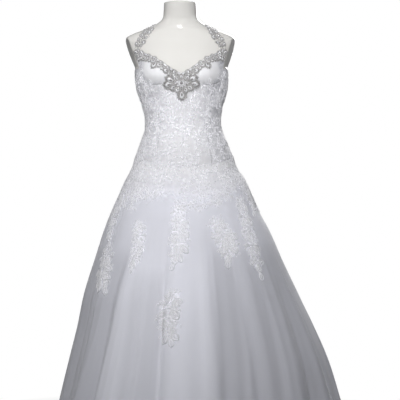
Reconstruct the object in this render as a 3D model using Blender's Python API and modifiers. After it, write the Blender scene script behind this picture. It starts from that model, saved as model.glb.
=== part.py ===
"""Wedding dress with a sweetheart neckline on a limbless dress form, as closed solids.

Metres, +Z up. X = 0 and Y = 0 is the axis of the form's pole, Z = 0 the floor under its base.
The dress's front looks towards -Y. An angle is 0 at the centre front and grows towards +X.
Every cloth piece is a wall: a grid of points on the garment's surface, moved out along the
surface's normals for its inner and its outer skin, and closed around its edges.
"""
import bpy
import bmesh
import numpy as np
from math import radians, pi
from mathutils import Vector
from mathutils.bvhtree import BVHTree

# ---------------------------------------------------------------- driving sizes
SEAM = 0.0003            # gap between two pieces at a seam
BODICE_CLEAR = 0.0020    # bodice lining to the form
BODICE_WALL = 0.0016
SATIN_CLEAR = 0.0008     # top of the satin skirt to the form
SATIN_WALL = 0.0011
TULLE_WALL = 0.0010
SATIN_IN = 0.004         # satin hangs this far inside the deepest fold of the tulle
HEM_Z = 0.008            # tulle hem above the floor
SATIN_HEM_RISE = 0.006   # satin hem above the tulle hem
SEAM_SIDE_Z = 0.940      # dropped-waist seam at the hips
SEAM_DIP = 0.028         # and how much lower it runs at the centre front and back
FLARE_RUN = 0.055        # height over which the skirt leaves the hip's line

# Form: height, half width, depth to the front, depth to the back
FORM = (
    (0.780, 0.160, 0.104, 0.116),
    (0.820, 0.166, 0.107, 0.121),
    (0.860, 0.170, 0.109, 0.124),
    (0.900, 0.171, 0.109, 0.123),
    (0.940, 0.1645, 0.107, 0.117),
    (0.975, 0.1520, 0.104, 0.105),
    (1.005, 0.1405, 0.100, 0.093),
    (1.035, 0.1290, 0.095, 0.084),
    (1.063, 0.1250, 0.092, 0.080),
    (1.090, 0.1258, 0.092, 0.080),
    (1.120, 0.1320, 0.095, 0.084),
    (1.150, 0.1415, 0.098, 0.089),
    (1.175, 0.1490, 0.100, 0.093),
    (1.200, 0.1530, 0.100, 0.097),
    (1.227, 0.1550, 0.099, 0.100),
    (1.254, 0.1580, 0.096, 0.103),
    (1.281, 0.1700, 0.092, 0.105),
    (1.308, 0.1830, 0.086, 0.104),
    (1.332, 0.1910, 0.079, 0.099),
    (1.350, 0.1900, 0.0713, 0.090),
    (1.362, 0.1750, 0.0663, 0.083),
    (1.373, 0.1500, 0.0619, 0.077),
    (1.383, 0.1220, 0.0580, 0.071),
    (1.393, 0.0980, 0.0524, 0.066),
    (1.403, 0.0800, 0.0498, 0.062),
    (1.414, 0.0660, 0.049, 0.058),
    (1.426, 0.0590, 0.050, 0.054),
    (1.440, 0.0573, 0.051, 0.050),
    (1.458, 0.0562, 0.053, 0.047),
    (1.472, 0.0556, 0.054, 0.045),
)
NECK_TOP_Z = 1.475
NECK_EDGE = 0.003        # rounding of the neck's top edge
FORM_COLUMNS = 36

BUST_X = 0.084           # each cup's fullest point from the centre
BUST_Z = 1.226
BUST_RISE = 0.031        # of the cups
FORM_BUST_RISE = 0.020   # of the form under them
BUST_WIDTH = 0.052
BUST_FADE = 2.2          # how soon the mounds reach full height in front of the sides
BUST_ABOVE = 0.060
BUST_BELOW = 0.042

# Arm faces: a flat cut on each side, leaning in downwards and turned a little to the front
ARM_X = 0.1575
ARM_Z = 1.254
ARM_LEAN = 0.270
ARM_TURN = 0.245
ARM_MARGIN = 0.006       # the bodice's armhole edge stays this far inside the cut
ARM_LOW_Z = 1.252        # the cut starts at this height
FORM_SHOULDER_Z = 1.345

# Neckline and back: angle, height of the bodice's top edge
TOP_EDGE = (
    (0, 1.2268), (11, 1.2400), (18, 1.2520), (25, 1.2665), (38, 1.2905), (50, 1.3035), (57, 1.3080),
    (70, 1.2900), (82, 1.2440), (100, 1.2430), (125, 1.2410), (150, 1.2360), (180, 1.2280),
)
# Seam under the cups, carried on round the back as a line of the bodice's rows
UNDER_BUST = (
    (0, 1.2100), (20, 1.1960), (38, 1.1900), (55, 1.2020), (68, 1.2220), (90, 1.2180), (180, 1.2000),
)
# Upright seams: height, princess seam, side-front seam, side-back seam, back princess seam
SEAMS = (
    (0.86, 33, 64, 112, 150),
    (0.97, 35, 64, 112, 150),
    (1.06, 38, 64, 112, 151),
    (1.19, 45, 68, 112, 152),
    (1.33, 47, 70, 112, 152),
)
LOWER_ROWS = 8           # rows of the bodice below the under-bust line
UPPER_ROWS = 4           # and above it
PANEL_COLUMN = 7.6       # degrees across a column of the bodice

# Skirt's outline over its folds: height, reach to -X, to +X, to the front, to the back
SKIRT = (
    (0.000, 0.449, 0.566, 0.425, 0.590),
    (0.139, 0.420, 0.527, 0.394, 0.534),
    (0.275, 0.388, 0.484, 0.361, 0.480),
    (0.383, 0.362, 0.437, 0.331, 0.433),
    (0.492, 0.340, 0.384, 0.298, 0.382),
    (0.601, 0.305, 0.333, 0.258, 0.325),
    (0.710, 0.270, 0.285, 0.211, 0.265),
    (0.764, 0.249, 0.255, 0.184, 0.231),
    (0.819, 0.224, 0.230, 0.155, 0.194),
    (0.873, 0.198, 0.205, 0.129, 0.156),
    (0.900, 0.1855, 0.189, 0.119, 0.139),
    (0.930, 0.1760, 0.1775, 0.1145, 0.1275),
)
# Troughs between the tulle's large folds: angle at the top, angle at the hem, depth at the hem,
# height where the trough starts
FOLDS = (
    (-170, -172, 0.022, 0.74),
    (-154, -155, 0.018, 0.66),
    (-138, -139, 0.024, 0.72),
    (-120, -122, 0.016, 0.60),
    (-102, -105, 0.021, 0.68),
    (-84, -88, 0.015, 0.56),
    (-64, -70, 0.018, 0.62),
    (-42, -52, 0.025, 0.66),
    (-22, -30, 0.010, 0.50),
    (-8, -12, 0.017, 0.64),
    (20, 15, 0.021, 0.74),
    (44, 35, 0.014, 0.52),
    (63, 56, 0.025, 0.60),
    (81, 76, 0.017, 0.55),
    (98, 94, 0.022, 0.66),
    (115, 112, 0.015, 0.58),
    (133, 131, 0.024, 0.70),
    (151, 150, 0.017, 0.62),
    (168, 168, 0.020, 0.72),
)
FOLD_SHARP = 1.4         # above 1 the troughs are narrower than the ridges
FOLD_GROW = 0.85         # below 1 the troughs deepen soon below their start
# Skirt rows: share of the way from the seam to the hem
SKIRT_ROWS = (0.0, 0.02, 0.05, 0.10, 0.18, 0.30, 0.44, 0.60, 0.79, 1.0)

LIE = 0.0004             # what lies on a panel stays this far off it
OFF_EDGE = 0.001         # a point this far past a panel's edge no longer lies on it
PLACKET_HALF = 0.007
PLACKET_WALL = 0.0012
PLACKET_END = 0.003
PLACKET_ROWS = 14

LEAN = 0.034             # the figure leans to -X by this much for each metre above LEAN_Z
LEAN_Z = 0.950
LEAN_RUN = 0.390         # above this run the neck stands upright

POLE_RADIUS = 0.0125
BASE_RADIUS = 0.160
BASE_HEIGHT = 0.014
COLLAR_RADIUS = 0.030
COLLAR_HEIGHT = 0.055
SEAT_GAP = 0.0003        # between the stand's pieces, face to face

IVORY = (0.80, 0.79, 0.76)
SATIN = (0.80, 0.80, 0.84)
TULLE = (0.88, 0.88, 0.92)
LACE = (0.93, 0.93, 0.95)
SILVER = (0.62, 0.62, 0.62)
STEEL = (0.55, 0.55, 0.56)


# ---------------------------------------------------------------- curves through tables
def along(rows, column, at):
    """One column of a table as a smooth curve over its first column: a cubic between rows."""
    xs = np.array([row[0] for row in rows], float)
    ys = np.array([row[column] for row in rows], float)
    at = np.asarray(at, float)
    slopes = np.gradient(ys, xs)
    i = np.clip(np.searchsorted(xs, at) - 1, 0, len(xs) - 2)
    run = xs[i + 1] - xs[i]
    t = np.clip((at - xs[i]) / run, 0.0, 1.0)
    start = (1 + 2 * t) * (1 - t) ** 2 * ys[i] + t * (1 - t) ** 2 * run * slopes[i]
    end = t ** 2 * (3 - 2 * t) * ys[i + 1] + t ** 2 * (t - 1) * run * slopes[i + 1]
    return start + end


def ease(t):
    """0 below 0, 1 above 1, and a smooth S between."""
    t = np.clip(t, 0.0, 1.0)
    return t * t * (3 - 2 * t)


# ---------------------------------------------------------------- the garment's surfaces
def form_surface(angle, z, rise=BUST_RISE):
    """Two half ellipses at each height, joined at the sides, with two mounds in front for the cups."""
    turn = np.radians(angle)
    side, fore = np.sin(turn), np.cos(turn)
    x = along(FORM, 1, z) * side
    y = -np.where(fore > 0, along(FORM, 2, z), along(FORM, 3, z)) * fore
    tall = np.where(z > BUST_Z, BUST_ABOVE, BUST_BELOW)
    mound = sum(
        np.exp(-((x - way * BUST_X) / BUST_WIDTH) ** 2 - ((z - BUST_Z) / tall) ** 2) for way in (-1, 1))
    y = y - rise * mound * ease(BUST_FADE * fore)
    return np.stack([x, y, z + 0.0 * x], -1)


def seam_height(angle):
    """Dropped-waist seam: highest at the hips, a little lower at the centre front and back."""
    return SEAM_SIDE_Z - SEAM_DIP * np.cos(np.radians(angle)) ** 2


def skirt_outline(angle, z):
    """Plan at each height: four quarter ellipses with their own reach to each side, front and back."""
    turn = np.radians(angle)
    side, fore = np.sin(turn), np.cos(turn)
    x = np.where(side > 0, along(SKIRT, 2, z), along(SKIRT, 1, z)) * side
    y = -np.where(fore > 0, along(SKIRT, 3, z), along(SKIRT, 4, z)) * fore
    return np.stack([x, y, z + 0.0 * x], -1)


def fold_depth(column, z):
    """Depth of the tulle's folds, at a column number counted in folds: whole numbers are troughs.

    Between two troughs the depth falls from each as a raised cosine to nothing at the ridge.
    """
    count = len(FOLDS)
    near = np.floor(column + 0.5).astype(int)
    away = np.abs(column - near)
    depth = np.array([row[2] for row in FOLDS])[near % count]
    start = np.array([row[3] for row in FOLDS])[near % count]
    grown = np.clip((start - z) / start, 0.0, 1.0) ** FOLD_GROW
    return depth * grown * (0.5 + 0.5 * np.cos(2 * pi * away)) ** FOLD_SHARP


def column_angle(column, share):
    """Angle of a column that is counted in folds, a share of the way down."""
    count = len(FOLDS)
    lower = np.floor(column).astype(int)
    part = column - lower
    tops = np.array([row[0] for row in FOLDS], float)
    hems = np.array([row[1] for row in FOLDS], float)
    first, second = lower % count, (lower + 1) % count
    turns = 360.0 * (lower // count)
    wrap = np.where(second == 0, 360.0, 0.0)
    top = tops[first] * (1 - part) + (tops[second] + wrap) * part + turns
    hem = hems[first] * (1 - part) + (hems[second] + wrap) * part + turns
    return top + (hem - top) * share


DEEPEST = max(row[2] for row in FOLDS)


def skirt_surface(column, share, layer):
    """Tulle or satin skin: leaves the hip's line over FLARE_RUN and then follows the skirt's outline.

    The tulle dips into the folds; the satin keeps a smooth line just inside the deepest one.
    """
    angle = column_angle(column, share)
    top = seam_height(angle)
    hem = HEM_Z if layer == "tulle" else HEM_Z + SATIN_HEM_RISE
    z = (top - SEAM / 2) * (1 - share) + hem * share
    hip = form_surface(angle, z)
    clear = BODICE_CLEAR + BODICE_WALL if layer == "tulle" else SATIN_CLEAR + SATIN_WALL
    hip = hip + clear * normals(form_surface, angle, z)
    wide = skirt_outline(angle, z)
    if layer == "tulle":
        inward = fold_depth(column, z)
    else:
        inward = SATIN_IN + DEEPEST * np.clip((top - z) / top, 0.0, 1.0) + 0.0 * column
    radius = np.hypot(wide[..., 0], wide[..., 1])
    wide[..., :2] *= (1 - inward / radius)[..., None]
    out = ease((top - z) / FLARE_RUN)[..., None]
    return hip * (1 - out) + wide * out


def normals(surface, angle, z, step=0.02):
    """Outward unit normals of a surface given over angle and height."""
    across = surface(angle + step, z) - surface(angle - step, z)
    up = surface(angle, z + 1e-4) - surface(angle, z - 1e-4)
    out = np.cross(across, up)
    return out / np.linalg.norm(out, axis=-1, keepdims=True)


def skirt_normals(column, share, layer):
    """Outward unit normals of the skirt, over column and share."""
    step = 0.004
    low, high = np.clip(share - step, 0, 1), np.clip(share + step, 0, 1)
    across = skirt_surface(column + step, share, layer) - skirt_surface(column - step, share, layer)
    up = skirt_surface(column, low, layer) - skirt_surface(column, high, layer)
    out = np.cross(across, up)
    return out / np.linalg.norm(out, axis=-1, keepdims=True)


def arm_cut(y, z):
    """Distance from the centre of the flat arm face."""
    return ARM_X + ARM_LEAN * (z - ARM_Z) + ARM_TURN * y


def top_edge(angle):
    """Top of the bodice: the drawn neckline and back, kept below the form's arm faces."""
    angle = np.abs(np.asarray(angle, float))
    drawn = along(TOP_EDGE, 1, angle)
    levels = np.linspace(ARM_LOW_Z - ARM_MARGIN, FORM_SHOULDER_Z, 121)
    points = form_surface(angle[..., None], levels + 0.0 * angle[..., None])
    past = points[..., 0] - arm_cut(points[..., 1], points[..., 2]) > -ARM_MARGIN
    armhole = np.where(past.any(-1), levels[past.argmax(-1)], levels[-1])
    return np.minimum(drawn, armhole)


# ---------------------------------------------------------------- solids
def collection_named(name):
    """New collection in the scene."""
    made = bpy.data.collections.new(name)
    bpy.context.scene.collection.children.link(made)
    return made


def finish(name, mesh, colour, roughness=0.6, metallic=0.0, smooth=35):
    """Object for a mesh, with a material of its own."""
    made = bpy.data.objects.new(name, mesh)
    PARTS.objects.link(made)
    material = bpy.data.materials.new(name)
    material.use_nodes = True
    shader = material.node_tree.nodes["Principled BSDF"]
    shader.inputs["Base Color"].default_value = (*colour, 1.0)
    shader.inputs["Roughness"].default_value = roughness
    shader.inputs["Metallic"].default_value = metallic
    mesh.materials.append(material)
    mesh.shade_smooth()
    mesh.set_sharp_from_angle(angle=radians(smooth))
    return made


def wall_faces(shape, keep, wrap=False):
    """Triangles of a wall over a grid: outer skin, inner skin and the closed edges of the kept cells."""
    rows, columns = shape
    index = np.arange(rows * columns).reshape(rows, columns)
    inner = rows * columns
    faces = []
    cells = keep.shape
    for r, c in zip(*np.nonzero(keep)):
        right = (c + 1) % columns if wrap else c + 1
        a, b, d, e = index[r, c], index[r, right], index[r + 1, right], index[r + 1, c]
        faces += [(a, b, d), (a, d, e), (a + inner, d + inner, b + inner), (a + inner, e + inner, d + inner)]
        left_cell = (c - 1) % cells[1] if wrap else c - 1
        right_cell = (c + 1) % cells[1] if wrap else c + 1
        sides = ((r - 1, c, a, b), (r, right_cell, b, d), (r + 1, c, d, e), (r, left_cell, e, a))
        for row, column, start, end in sides:
            inside = 0 <= row < cells[0] and 0 <= column < cells[1]
            if not (inside and keep[row, column]):
                faces += [(start, end + inner, end), (start, start + inner, end + inner)]
    return faces


def wall(name, outer, inner, colour, keep=None, wrap=False, **look):
    """One closed wall between two grids of points, whose columns run to the left seen from inside."""
    shape = outer.shape[:2]
    if keep is None:
        keep = np.ones((shape[0] - 1, shape[1] - (0 if wrap else 1)), bool)
    faces = np.array(wall_faces(shape, keep, wrap))
    points = np.concatenate([outer.reshape(-1, 3), inner.reshape(-1, 3)])
    used, faces = np.unique(faces, return_inverse=True)
    mesh = bpy.data.meshes.new(name)
    mesh.from_pydata(points[used].tolist(), [], faces.reshape(-1, 3).tolist())
    mesh.update()
    return finish(name, mesh, colour, **look)


# ---------------------------------------------------------------- dress form and its stand
def lofted(name, rings):
    """Closed loft through rings that run upwards, each counter-clockwise seen from above."""
    count = len(rings[0])
    mesh = bmesh.new()
    loops = [[mesh.verts.new(point) for point in ring] for ring in rings]
    for low, high in zip(loops, loops[1:]):
        for i in range(count):
            j = (i + 1) % count
            mesh.faces.new((low[i], low[j], high[j], high[i]))
    mesh.faces.new(list(reversed(loops[0])))
    mesh.faces.new(loops[-1])
    bmesh.ops.triangulate(mesh, faces=[face for face in mesh.faces if len(face.verts) > 4])
    data = bpy.data.meshes.new(name)
    mesh.to_mesh(data)
    mesh.free()
    return data


def form_body():
    """Torso and neck stub, one closed body, cut flat where the arms would join."""
    angle = np.linspace(-180, 180, FORM_COLUMNS, endpoint=False)
    heights = [row[0] for row in FORM]
    rings = [form_surface(angle, np.full(FORM_COLUMNS, z), FORM_BUST_RISE) for z in heights]
    cap = rings[-1].copy()
    cap[:, :2] *= 1 - NECK_EDGE / FORM[-1][1]
    cap[:, 2] = NECK_TOP_Z
    rings.append(cap)
    body = finish("form_body", lofted("form_body", rings), IVORY, roughness=0.25)
    for way, side in ((-1, "left"), (1, "right")):
        cutter = arm_cutter(side, way)
        cut = body.modifiers.new("arm_face_" + side, "BOOLEAN")
        cut.operation = "DIFFERENCE"
        cut.object = cutter
    return body


def arm_cutter(side, way):
    """Slab whose inner face is the flat arm face, from the underarm up past the shoulder."""
    low, high, fore, back, outer = ARM_LOW_Z, NECK_TOP_Z, -0.25, 0.25, 0.30
    corners = []
    for z in (low, high):
        corners += [(arm_cut(y, z), y, z) for y in (fore, back)]
        corners += [(outer, back, z), (outer, fore, z)]
    points = [Vector((way * x, y, z)) for x, y, z in corners]
    mesh = bmesh.new()
    verts = [mesh.verts.new(point) for point in points]
    for face in ((0, 1, 2, 3), (4, 5, 6, 7), (0, 1, 5, 4), (1, 2, 6, 5), (2, 3, 7, 6), (3, 0, 4, 7)):
        mesh.faces.new([verts[i] for i in face])
    bmesh.ops.recalc_face_normals(mesh, faces=mesh.faces)
    data = bpy.data.meshes.new("arm_cutter_" + side)
    mesh.to_mesh(data)
    mesh.free()
    cutter = bpy.data.objects.new("arm_cutter_" + side, data)
    cutter.hide_render = True
    cutter.display_type = "WIRE"
    CUTTERS.objects.link(cutter)
    return cutter


def turned(name, profile, colour, steps=40, **look):
    """Turned piece: a profile down its outer side, carried round the pole's axis by a Screw modifier."""
    mesh = bpy.data.meshes.new(name)
    mesh.from_pydata([(x, 0, z) for x, z in profile], [(i, i + 1) for i in range(len(profile) - 1)], [])
    made = finish(name, mesh, colour, **look)
    screw = made.modifiers.new("turn", "SCREW")
    screw.steps = steps
    screw.render_steps = steps
    screw.use_merge_vertices = True
    screw.merge_threshold = 0.00001
    screw.use_smooth_shade = True
    return made


def stand():
    """Round base, collar on it, pole, and the flange that carries the form."""
    low = FORM[0][0]
    edge = 0.004
    turned("form_base", [
        (0, BASE_HEIGHT), (BASE_RADIUS - 2 * edge, BASE_HEIGHT), (BASE_RADIUS, BASE_HEIGHT - edge),
        (BASE_RADIUS, 0), (0, 0)], STEEL, roughness=0.35, metallic=0.8)
    collar_low = BASE_HEIGHT + SEAT_GAP
    collar_high = collar_low + COLLAR_HEIGHT
    turned("form_collar", [
        (0, collar_high), (COLLAR_RADIUS * 0.6, collar_high), (COLLAR_RADIUS * 0.7, collar_low + 0.02),
        (COLLAR_RADIUS, collar_low + 0.008), (COLLAR_RADIUS, collar_low), (0, collar_low)],
        STEEL, steps=24, roughness=0.35, metallic=0.8)
    flange_high = low - SEAT_GAP
    flange_low = flange_high - 0.02
    turned("form_flange", [
        (0, flange_high), (0.05, flange_high), (0.05, flange_high - 0.006), (0.02, flange_low), (0, flange_low)],
        STEEL, steps=24, roughness=0.35, metallic=0.8)
    turned("form_pole", [
        (0, flange_low - SEAT_GAP), (POLE_RADIUS, flange_low - SEAT_GAP), (POLE_RADIUS, collar_high + SEAT_GAP),
        (0, collar_high + SEAT_GAP)], STEEL, steps=20, roughness=0.25, metallic=1.0)


# ---------------------------------------------------------------- bodice
def seam_angle(column, z):
    """Angle of an upright seam at a height; column 0 is the centre front, 5 the centre back."""
    if column == 0:
        return 0.0 * z
    if column == 5:
        return 180.0 + 0.0 * z
    return along(SEAMS, column, z)


def bodice_panel(name, first, last, bands, mirrored=False, across=False):
    """Wall between two upright seams over the lower or the upper band of rows, or both.

    across: the panel spans the centre front, from the mirrored last seam to the last seam.
    """
    middle = 0.5 * (np.mean(seam_angle(first, np.array([1.0]))) + np.mean(seam_angle(last, np.array([1.0]))))
    span = np.mean(seam_angle(last, np.array([1.1]))) - np.mean(seam_angle(first, np.array([1.1])))
    if across:
        span *= 2
    columns = max(3, int(round(span / PANEL_COLUMN)))
    u = np.linspace(-1 if across else 0, 1, columns + 1)[None, :]
    rows = []
    if "lower" in bands:
        rows += list(np.linspace(0, 1, LOWER_ROWS + 1))
    if "upper" in bands:
        rows += list(np.linspace(1, 2, UPPER_ROWS + 1))[1 if rows else 0:]
    v = np.array(rows)[:, None]
    angle = middle + 0.0 * u * v
    for _ in range(6):
        low, bust, top = seam_height(angle), along(UNDER_BUST, 1, np.abs(angle)), top_edge(angle)
        trim_low = SEAM / 2
        trim_bust = SEAM / 2 if len(bands) == 1 else 0.0
        z_low = (low + trim_low) * (1 - v) + (bust - trim_bust) * v
        z_up = (bust + trim_bust) * (2 - v) + top * (v - 1)
        z = np.where(v <= 1, z_low, z_up) if bands[0] == "lower" else z_up
        if len(bands) == 1 and bands[0] == "lower":
            z = z_low
        gap = np.degrees(SEAM / 2 / np.hypot(*np.moveaxis(form_surface(angle, z)[..., :2], -1, 0)))
        right = seam_angle(last, z) - gap
        if across:
            angle = u * right
        else:
            left = seam_angle(first, z) + gap
            angle = left * (1 - u) + right * u
    if mirrored:
        angle = -angle[:, ::-1]
        z = z[:, ::-1]
    base = form_surface(angle, z)
    out = normals(form_surface, angle, z)
    outer = base + (BODICE_CLEAR + BODICE_WALL) * out
    wall(name, outer, base + BODICE_CLEAR * out, SATIN, roughness=0.45)
    return outer


def bodice():
    """All seamed panels of the bodice and its two cups; returns their outer triangles as a tree."""
    skins = [bodice_panel("bodice_centre_front", 0, 1, ("lower",), across=True)]
    for side, mirrored in (("right", False), ("left", True)):
        skins += [
            bodice_panel("cup_" + side, 0, 2, ("upper",), mirrored),
            bodice_panel("bodice_side_front_" + side, 1, 2, ("lower",), mirrored),
            bodice_panel("bodice_side_" + side, 2, 3, ("lower", "upper"), mirrored),
            bodice_panel("bodice_side_back_" + side, 3, 4, ("lower", "upper"), mirrored),
            bodice_panel("bodice_back_" + side, 4, 5, ("lower", "upper"), mirrored),
        ]
    return tree_of(skins)


def back_placket(tree):
    """Narrow strip over the closed zip, down the centre back."""
    share = np.linspace(0, 1, PLACKET_ROWS)[:, None]
    across = np.linspace(-1, 1, 3)[None, :]
    low, high = float(seam_height(180)) + PLACKET_END, float(top_edge(180)) - PLACKET_END
    z = low * (1 - share) + high * share + 0.0 * across
    angle = 180.0 + np.degrees(PLACKET_HALF * across / along(FORM, 1, z))
    skin, out = on_bodice(np.stack([angle, z], -1))
    inner = cleared(tree, skin + LIE * out, out, LIE)
    wall("back_placket", inner + PLACKET_WALL * out, inner, SATIN, roughness=0.45)


# ---------------------------------------------------------------- skirt
def tree_of(skins):
    """Search tree of the outer triangles of several panels, each given as its grid of points."""
    points, faces = [], []
    for skin in skins:
        rows, columns = skin.shape[:2]
        index = np.arange(rows * columns).reshape(rows, columns) + len(points)
        points += skin.reshape(-1, 3).tolist()
        a, b, d, e = index[:-1, :-1], index[:-1, 1:], index[1:, 1:], index[1:, :-1]
        faces += np.stack([a, b, d], -1).reshape(-1, 3).tolist()
        faces += np.stack([a, d, e], -1).reshape(-1, 3).tolist()
    return BVHTree.FromPolygons(points, faces)


def skirt_panel(name, first, last, layer, step):
    """Wall between two columns counted in folds; the ends stay half a seam gap inside."""
    share = np.array(SKIRT_ROWS)[:, None]
    column = np.arange(first, last + step / 2, step)[None, :] + 0.0 * share
    thick = TULLE_WALL if layer == "tulle" else SATIN_WALL
    width = np.linalg.norm(
        skirt_surface(column + 0.01, share + 0 * column, layer) - skirt_surface(column, share + 0 * column, layer),
        axis=-1) / 0.01
    trim = SEAM / 2 / width
    column[:, 0] += trim[:, 0]
    column[:, -1] -= trim[:, -1]
    share = share + 0 * column
    outer = skirt_surface(column, share, layer)
    out = skirt_normals(column, share, layer)
    inner = outer - thick * out
    colour = TULLE if layer == "tulle" else SATIN
    wall(name, outer[::-1], inner[::-1], colour, roughness=0.5)
    return outer[::-1]


# Gore seams and overlay seams, at ridges, counted in folds from the first row of FOLDS
GORES = (
    ("skirt_back_left", -0.5, 2.5), ("skirt_side_back_left", 2.5, 4.5), ("skirt_side_left", 4.5, 6.5),
    ("skirt_front_left", 6.5, 8.5), ("skirt_centre_front", 8.5, 10.5), ("skirt_front_right", 10.5, 12.5),
    ("skirt_side_right", 12.5, 14.5), ("skirt_side_back_right", 14.5, 16.5), ("skirt_back_right", 16.5, 18.5),
)
OVERLAYS = (
    ("overlay_back_left", -0.5, 3.5), ("overlay_side_left", 3.5, 6.5), ("overlay_front", 6.5, 12.5),
    ("overlay_side_right", 12.5, 15.5), ("overlay_back_right", 15.5, 18.5),
)


def skirt():
    """Satin gores inside, tulle overlay outside; returns the overlay's outer triangles as a tree."""
    for name, first, last in GORES:
        skirt_panel(name, first, last, "satin", 0.5)
    return tree_of([skirt_panel(name, first, last, "tulle", 0.25) for name, first, last in OVERLAYS])


# ---------------------------------------------------------------- lace and beaded bands
def smoothed(values, passes):
    """Averages each grid value with its neighbours along and across."""
    for _ in range(passes):
        padded = np.pad(values, ((1, 1), (1, 1), (0, 0)), mode="edge")
        values = (2 * values + padded[:-2, 1:-1] + padded[2:, 1:-1] + padded[1:-1, :-2] + padded[1:-1, 2:]) / 6
    return values


def dropped(tree, guide):
    """Nearest points and normals of a faceted surface for a grid of guide points."""
    spots = np.empty_like(guide)
    outs = np.empty_like(guide)
    for place in np.ndindex(guide.shape[:2]):
        spot, out, _, _ = tree.find_nearest(Vector(guide[place]))
        spots[place] = spot
        outs[place] = out
    return spots, outs


def cleared(tree, points, outs, lift):
    """Moves a grid of points out until every point, edge middle and cell middle clears the facets."""
    for _ in range(8):
        need = np.zeros(points.shape[:2])
        middles = (
            (points, [(0, 0)]),
            ((points[1:] + points[:-1]) / 2, [(0, 0), (1, 0)]),
            ((points[:, 1:] + points[:, :-1]) / 2, [(0, 0), (0, 1)]),
            ((points[1:, 1:] + points[:-1, :-1]) / 2, [(0, 0), (1, 1), (0, 1), (1, 0)]),
        )
        for spots, owners in middles:
            near, out = dropped(tree, spots)
            height = ((spots - near) * out).sum(-1)
            beside = np.linalg.norm(spots - near - height[..., None] * out, axis=-1)
            short = np.where(beside < OFF_EDGE, np.maximum(lift - height, 0), 0)
            for down, over in owners:
                part = need[down:down + short.shape[0], over:over + short.shape[1]]
                np.maximum(part, short, out=part)
        if need.max() < 1e-6:
            break
        points = points + (1.05 * need)[..., None] * outs
    return points


def leafy_cells(leaves, leaf_rows=2, gap_rows=1):
    """Kept cells of a sprig: a stem all along, and leaves of two rows with a gap row between them."""
    rows = leaves * (leaf_rows + gap_rows) + gap_rows
    keep = np.zeros((rows, 3), bool)
    keep[:, 1] = True
    for leaf in range(leaves):
        start = gap_rows + leaf * (leaf_rows + gap_rows)
        keep[start:start + leaf_rows, :] = True
    return keep


def sprig_grid(path, reach, leaves, stem, lean, facing):
    """Guide grid of a leafy sprig along a path: four columns, at the leaf tips and the stem's edges."""
    keep = leafy_cells(leaves)
    rows = keep.shape[0] + 1
    t = np.linspace(0, 1, rows)
    line = np.stack([along(path, axis + 1, t) for axis in range(3)], -1)
    ahead = np.gradient(line, axis=0)
    ahead /= np.linalg.norm(ahead, axis=1, keepdims=True)
    beside = np.cross(ahead, facing(line))
    beside /= np.linalg.norm(beside, axis=1, keepdims=True)
    tip = np.zeros((rows, 2))
    shift = np.zeros(rows)
    for leaf in range(leaves):
        start = 1 + leaf * 3
        for row, size, forward in ((start, 0.50, 0.2), (start + 1, 1.0, 1.0), (start + 2, 0.62, 1.0)):
            for column in (0, 1):
                tip[row, column] = size * reach(leaf, column)
            shift[row] = forward * lean
    left = line - beside * (stem + tip[:, :1]) + ahead * shift[:, None]
    right = line + beside * (stem + tip[:, 1:]) + ahead * shift[:, None]
    return np.stack([left, line - beside * stem, line + beside * stem, right], 1), keep


def skirt_spot(angle, z):
    """Point of the skirt's outline over its folds."""
    return skirt_outline(np.asarray(angle, float), np.asarray(z, float))


# Sprigs of lace on the overlay: angle and height of the top end, then of the foot; leaf reach; leaves
SPRIGS = (
    ("sprig_left_hip", -64, 0.852, -55, 0.672, 0.024, 4),
    ("sprig_left_front", -36, 0.740, -32, 0.584, 0.026, 4),
    ("sprig_left_low", -53, 0.630, -48, 0.500, 0.036, 3),
    ("sprig_centre", -5, 0.790, -6, 0.600, 0.031, 5),
    ("sprig_centre_low", -6, 0.520, -9, 0.332, 0.042, 4),
    ("sprig_right_front", 22, 0.742, 27, 0.586, 0.036, 4),
    ("sprig_right_side", 58, 0.756, 45, 0.536, 0.032, 5),
    ("sprig_right_hip", 78, 0.868, 67, 0.775, 0.024, 2),
    ("sprig_back_left_hip", -112, 0.850, -126, 0.640, 0.030, 4),
    ("sprig_back_left", -150, 0.780, -148, 0.500, 0.034, 5),
    ("sprig_back_centre", 178, 0.700, 178, 0.420, 0.038, 5),
    ("sprig_back_right", 150, 0.800, 146, 0.560, 0.034, 5),
    ("sprig_back_right_hip", 112, 0.850, 122, 0.660, 0.030, 4),
)
SPRIG_LIFT = 0.0005
SPRIG_WALL = 0.0012
SPRIG_STEM = 0.004


def sprigs(tree):
    """Leafy lace sprigs that lie on the overlay's own facets."""
    for number, (name, top_angle, top_z, foot_angle, foot_z, reach, leaves) in enumerate(SPRIGS):
        share = np.linspace(0, 1, 5)
        angle = foot_angle + (top_angle - foot_angle) * share
        bow = 3.0 * np.sin(pi * share) * (1 if number % 2 else -1)
        spots = skirt_spot(angle + bow, foot_z + (top_z - foot_z) * share)
        path = [(t, *spot) for t, spot in zip(share, spots)]

        def leaf_reach(leaf, column, reach=reach, leaves=leaves, number=number):
            swell = np.sin(pi * (leaf + 0.8) / (leaves + 0.9))
            return reach * (0.35 + 0.65 * swell) * (1.0 + 0.16 * (-1) ** (leaf + column + number))

        def facing(line):
            out = line * (1, 1, 0)
            return out / np.linalg.norm(out, axis=1, keepdims=True)

        guide, keep = sprig_grid(path, leaf_reach, leaves, SPRIG_STEM, 0.010, facing)
        lay_on(name, tree, guide, keep, SPRIG_LIFT, SPRIG_WALL, LACE)


def lay_on(name, tree, guide, keep, lift, thick, colour, crown=0.0, **look):
    """Wall on a faceted surface: the guide grid dropped on it, cleared, and moved out for its outer skin."""
    spots, outs = dropped(tree, guide)
    outs = smoothed(outs, 3)
    outs /= np.linalg.norm(outs, axis=-1, keepdims=True)
    inner = cleared(tree, spots + lift * outs, outs, lift)
    raised = np.full(guide.shape[1], thick)
    raised[1:-1] += crown
    outer = inner + raised[None, :, None] * outs
    return wall(name, outer, inner, colour, keep, **look)


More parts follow.
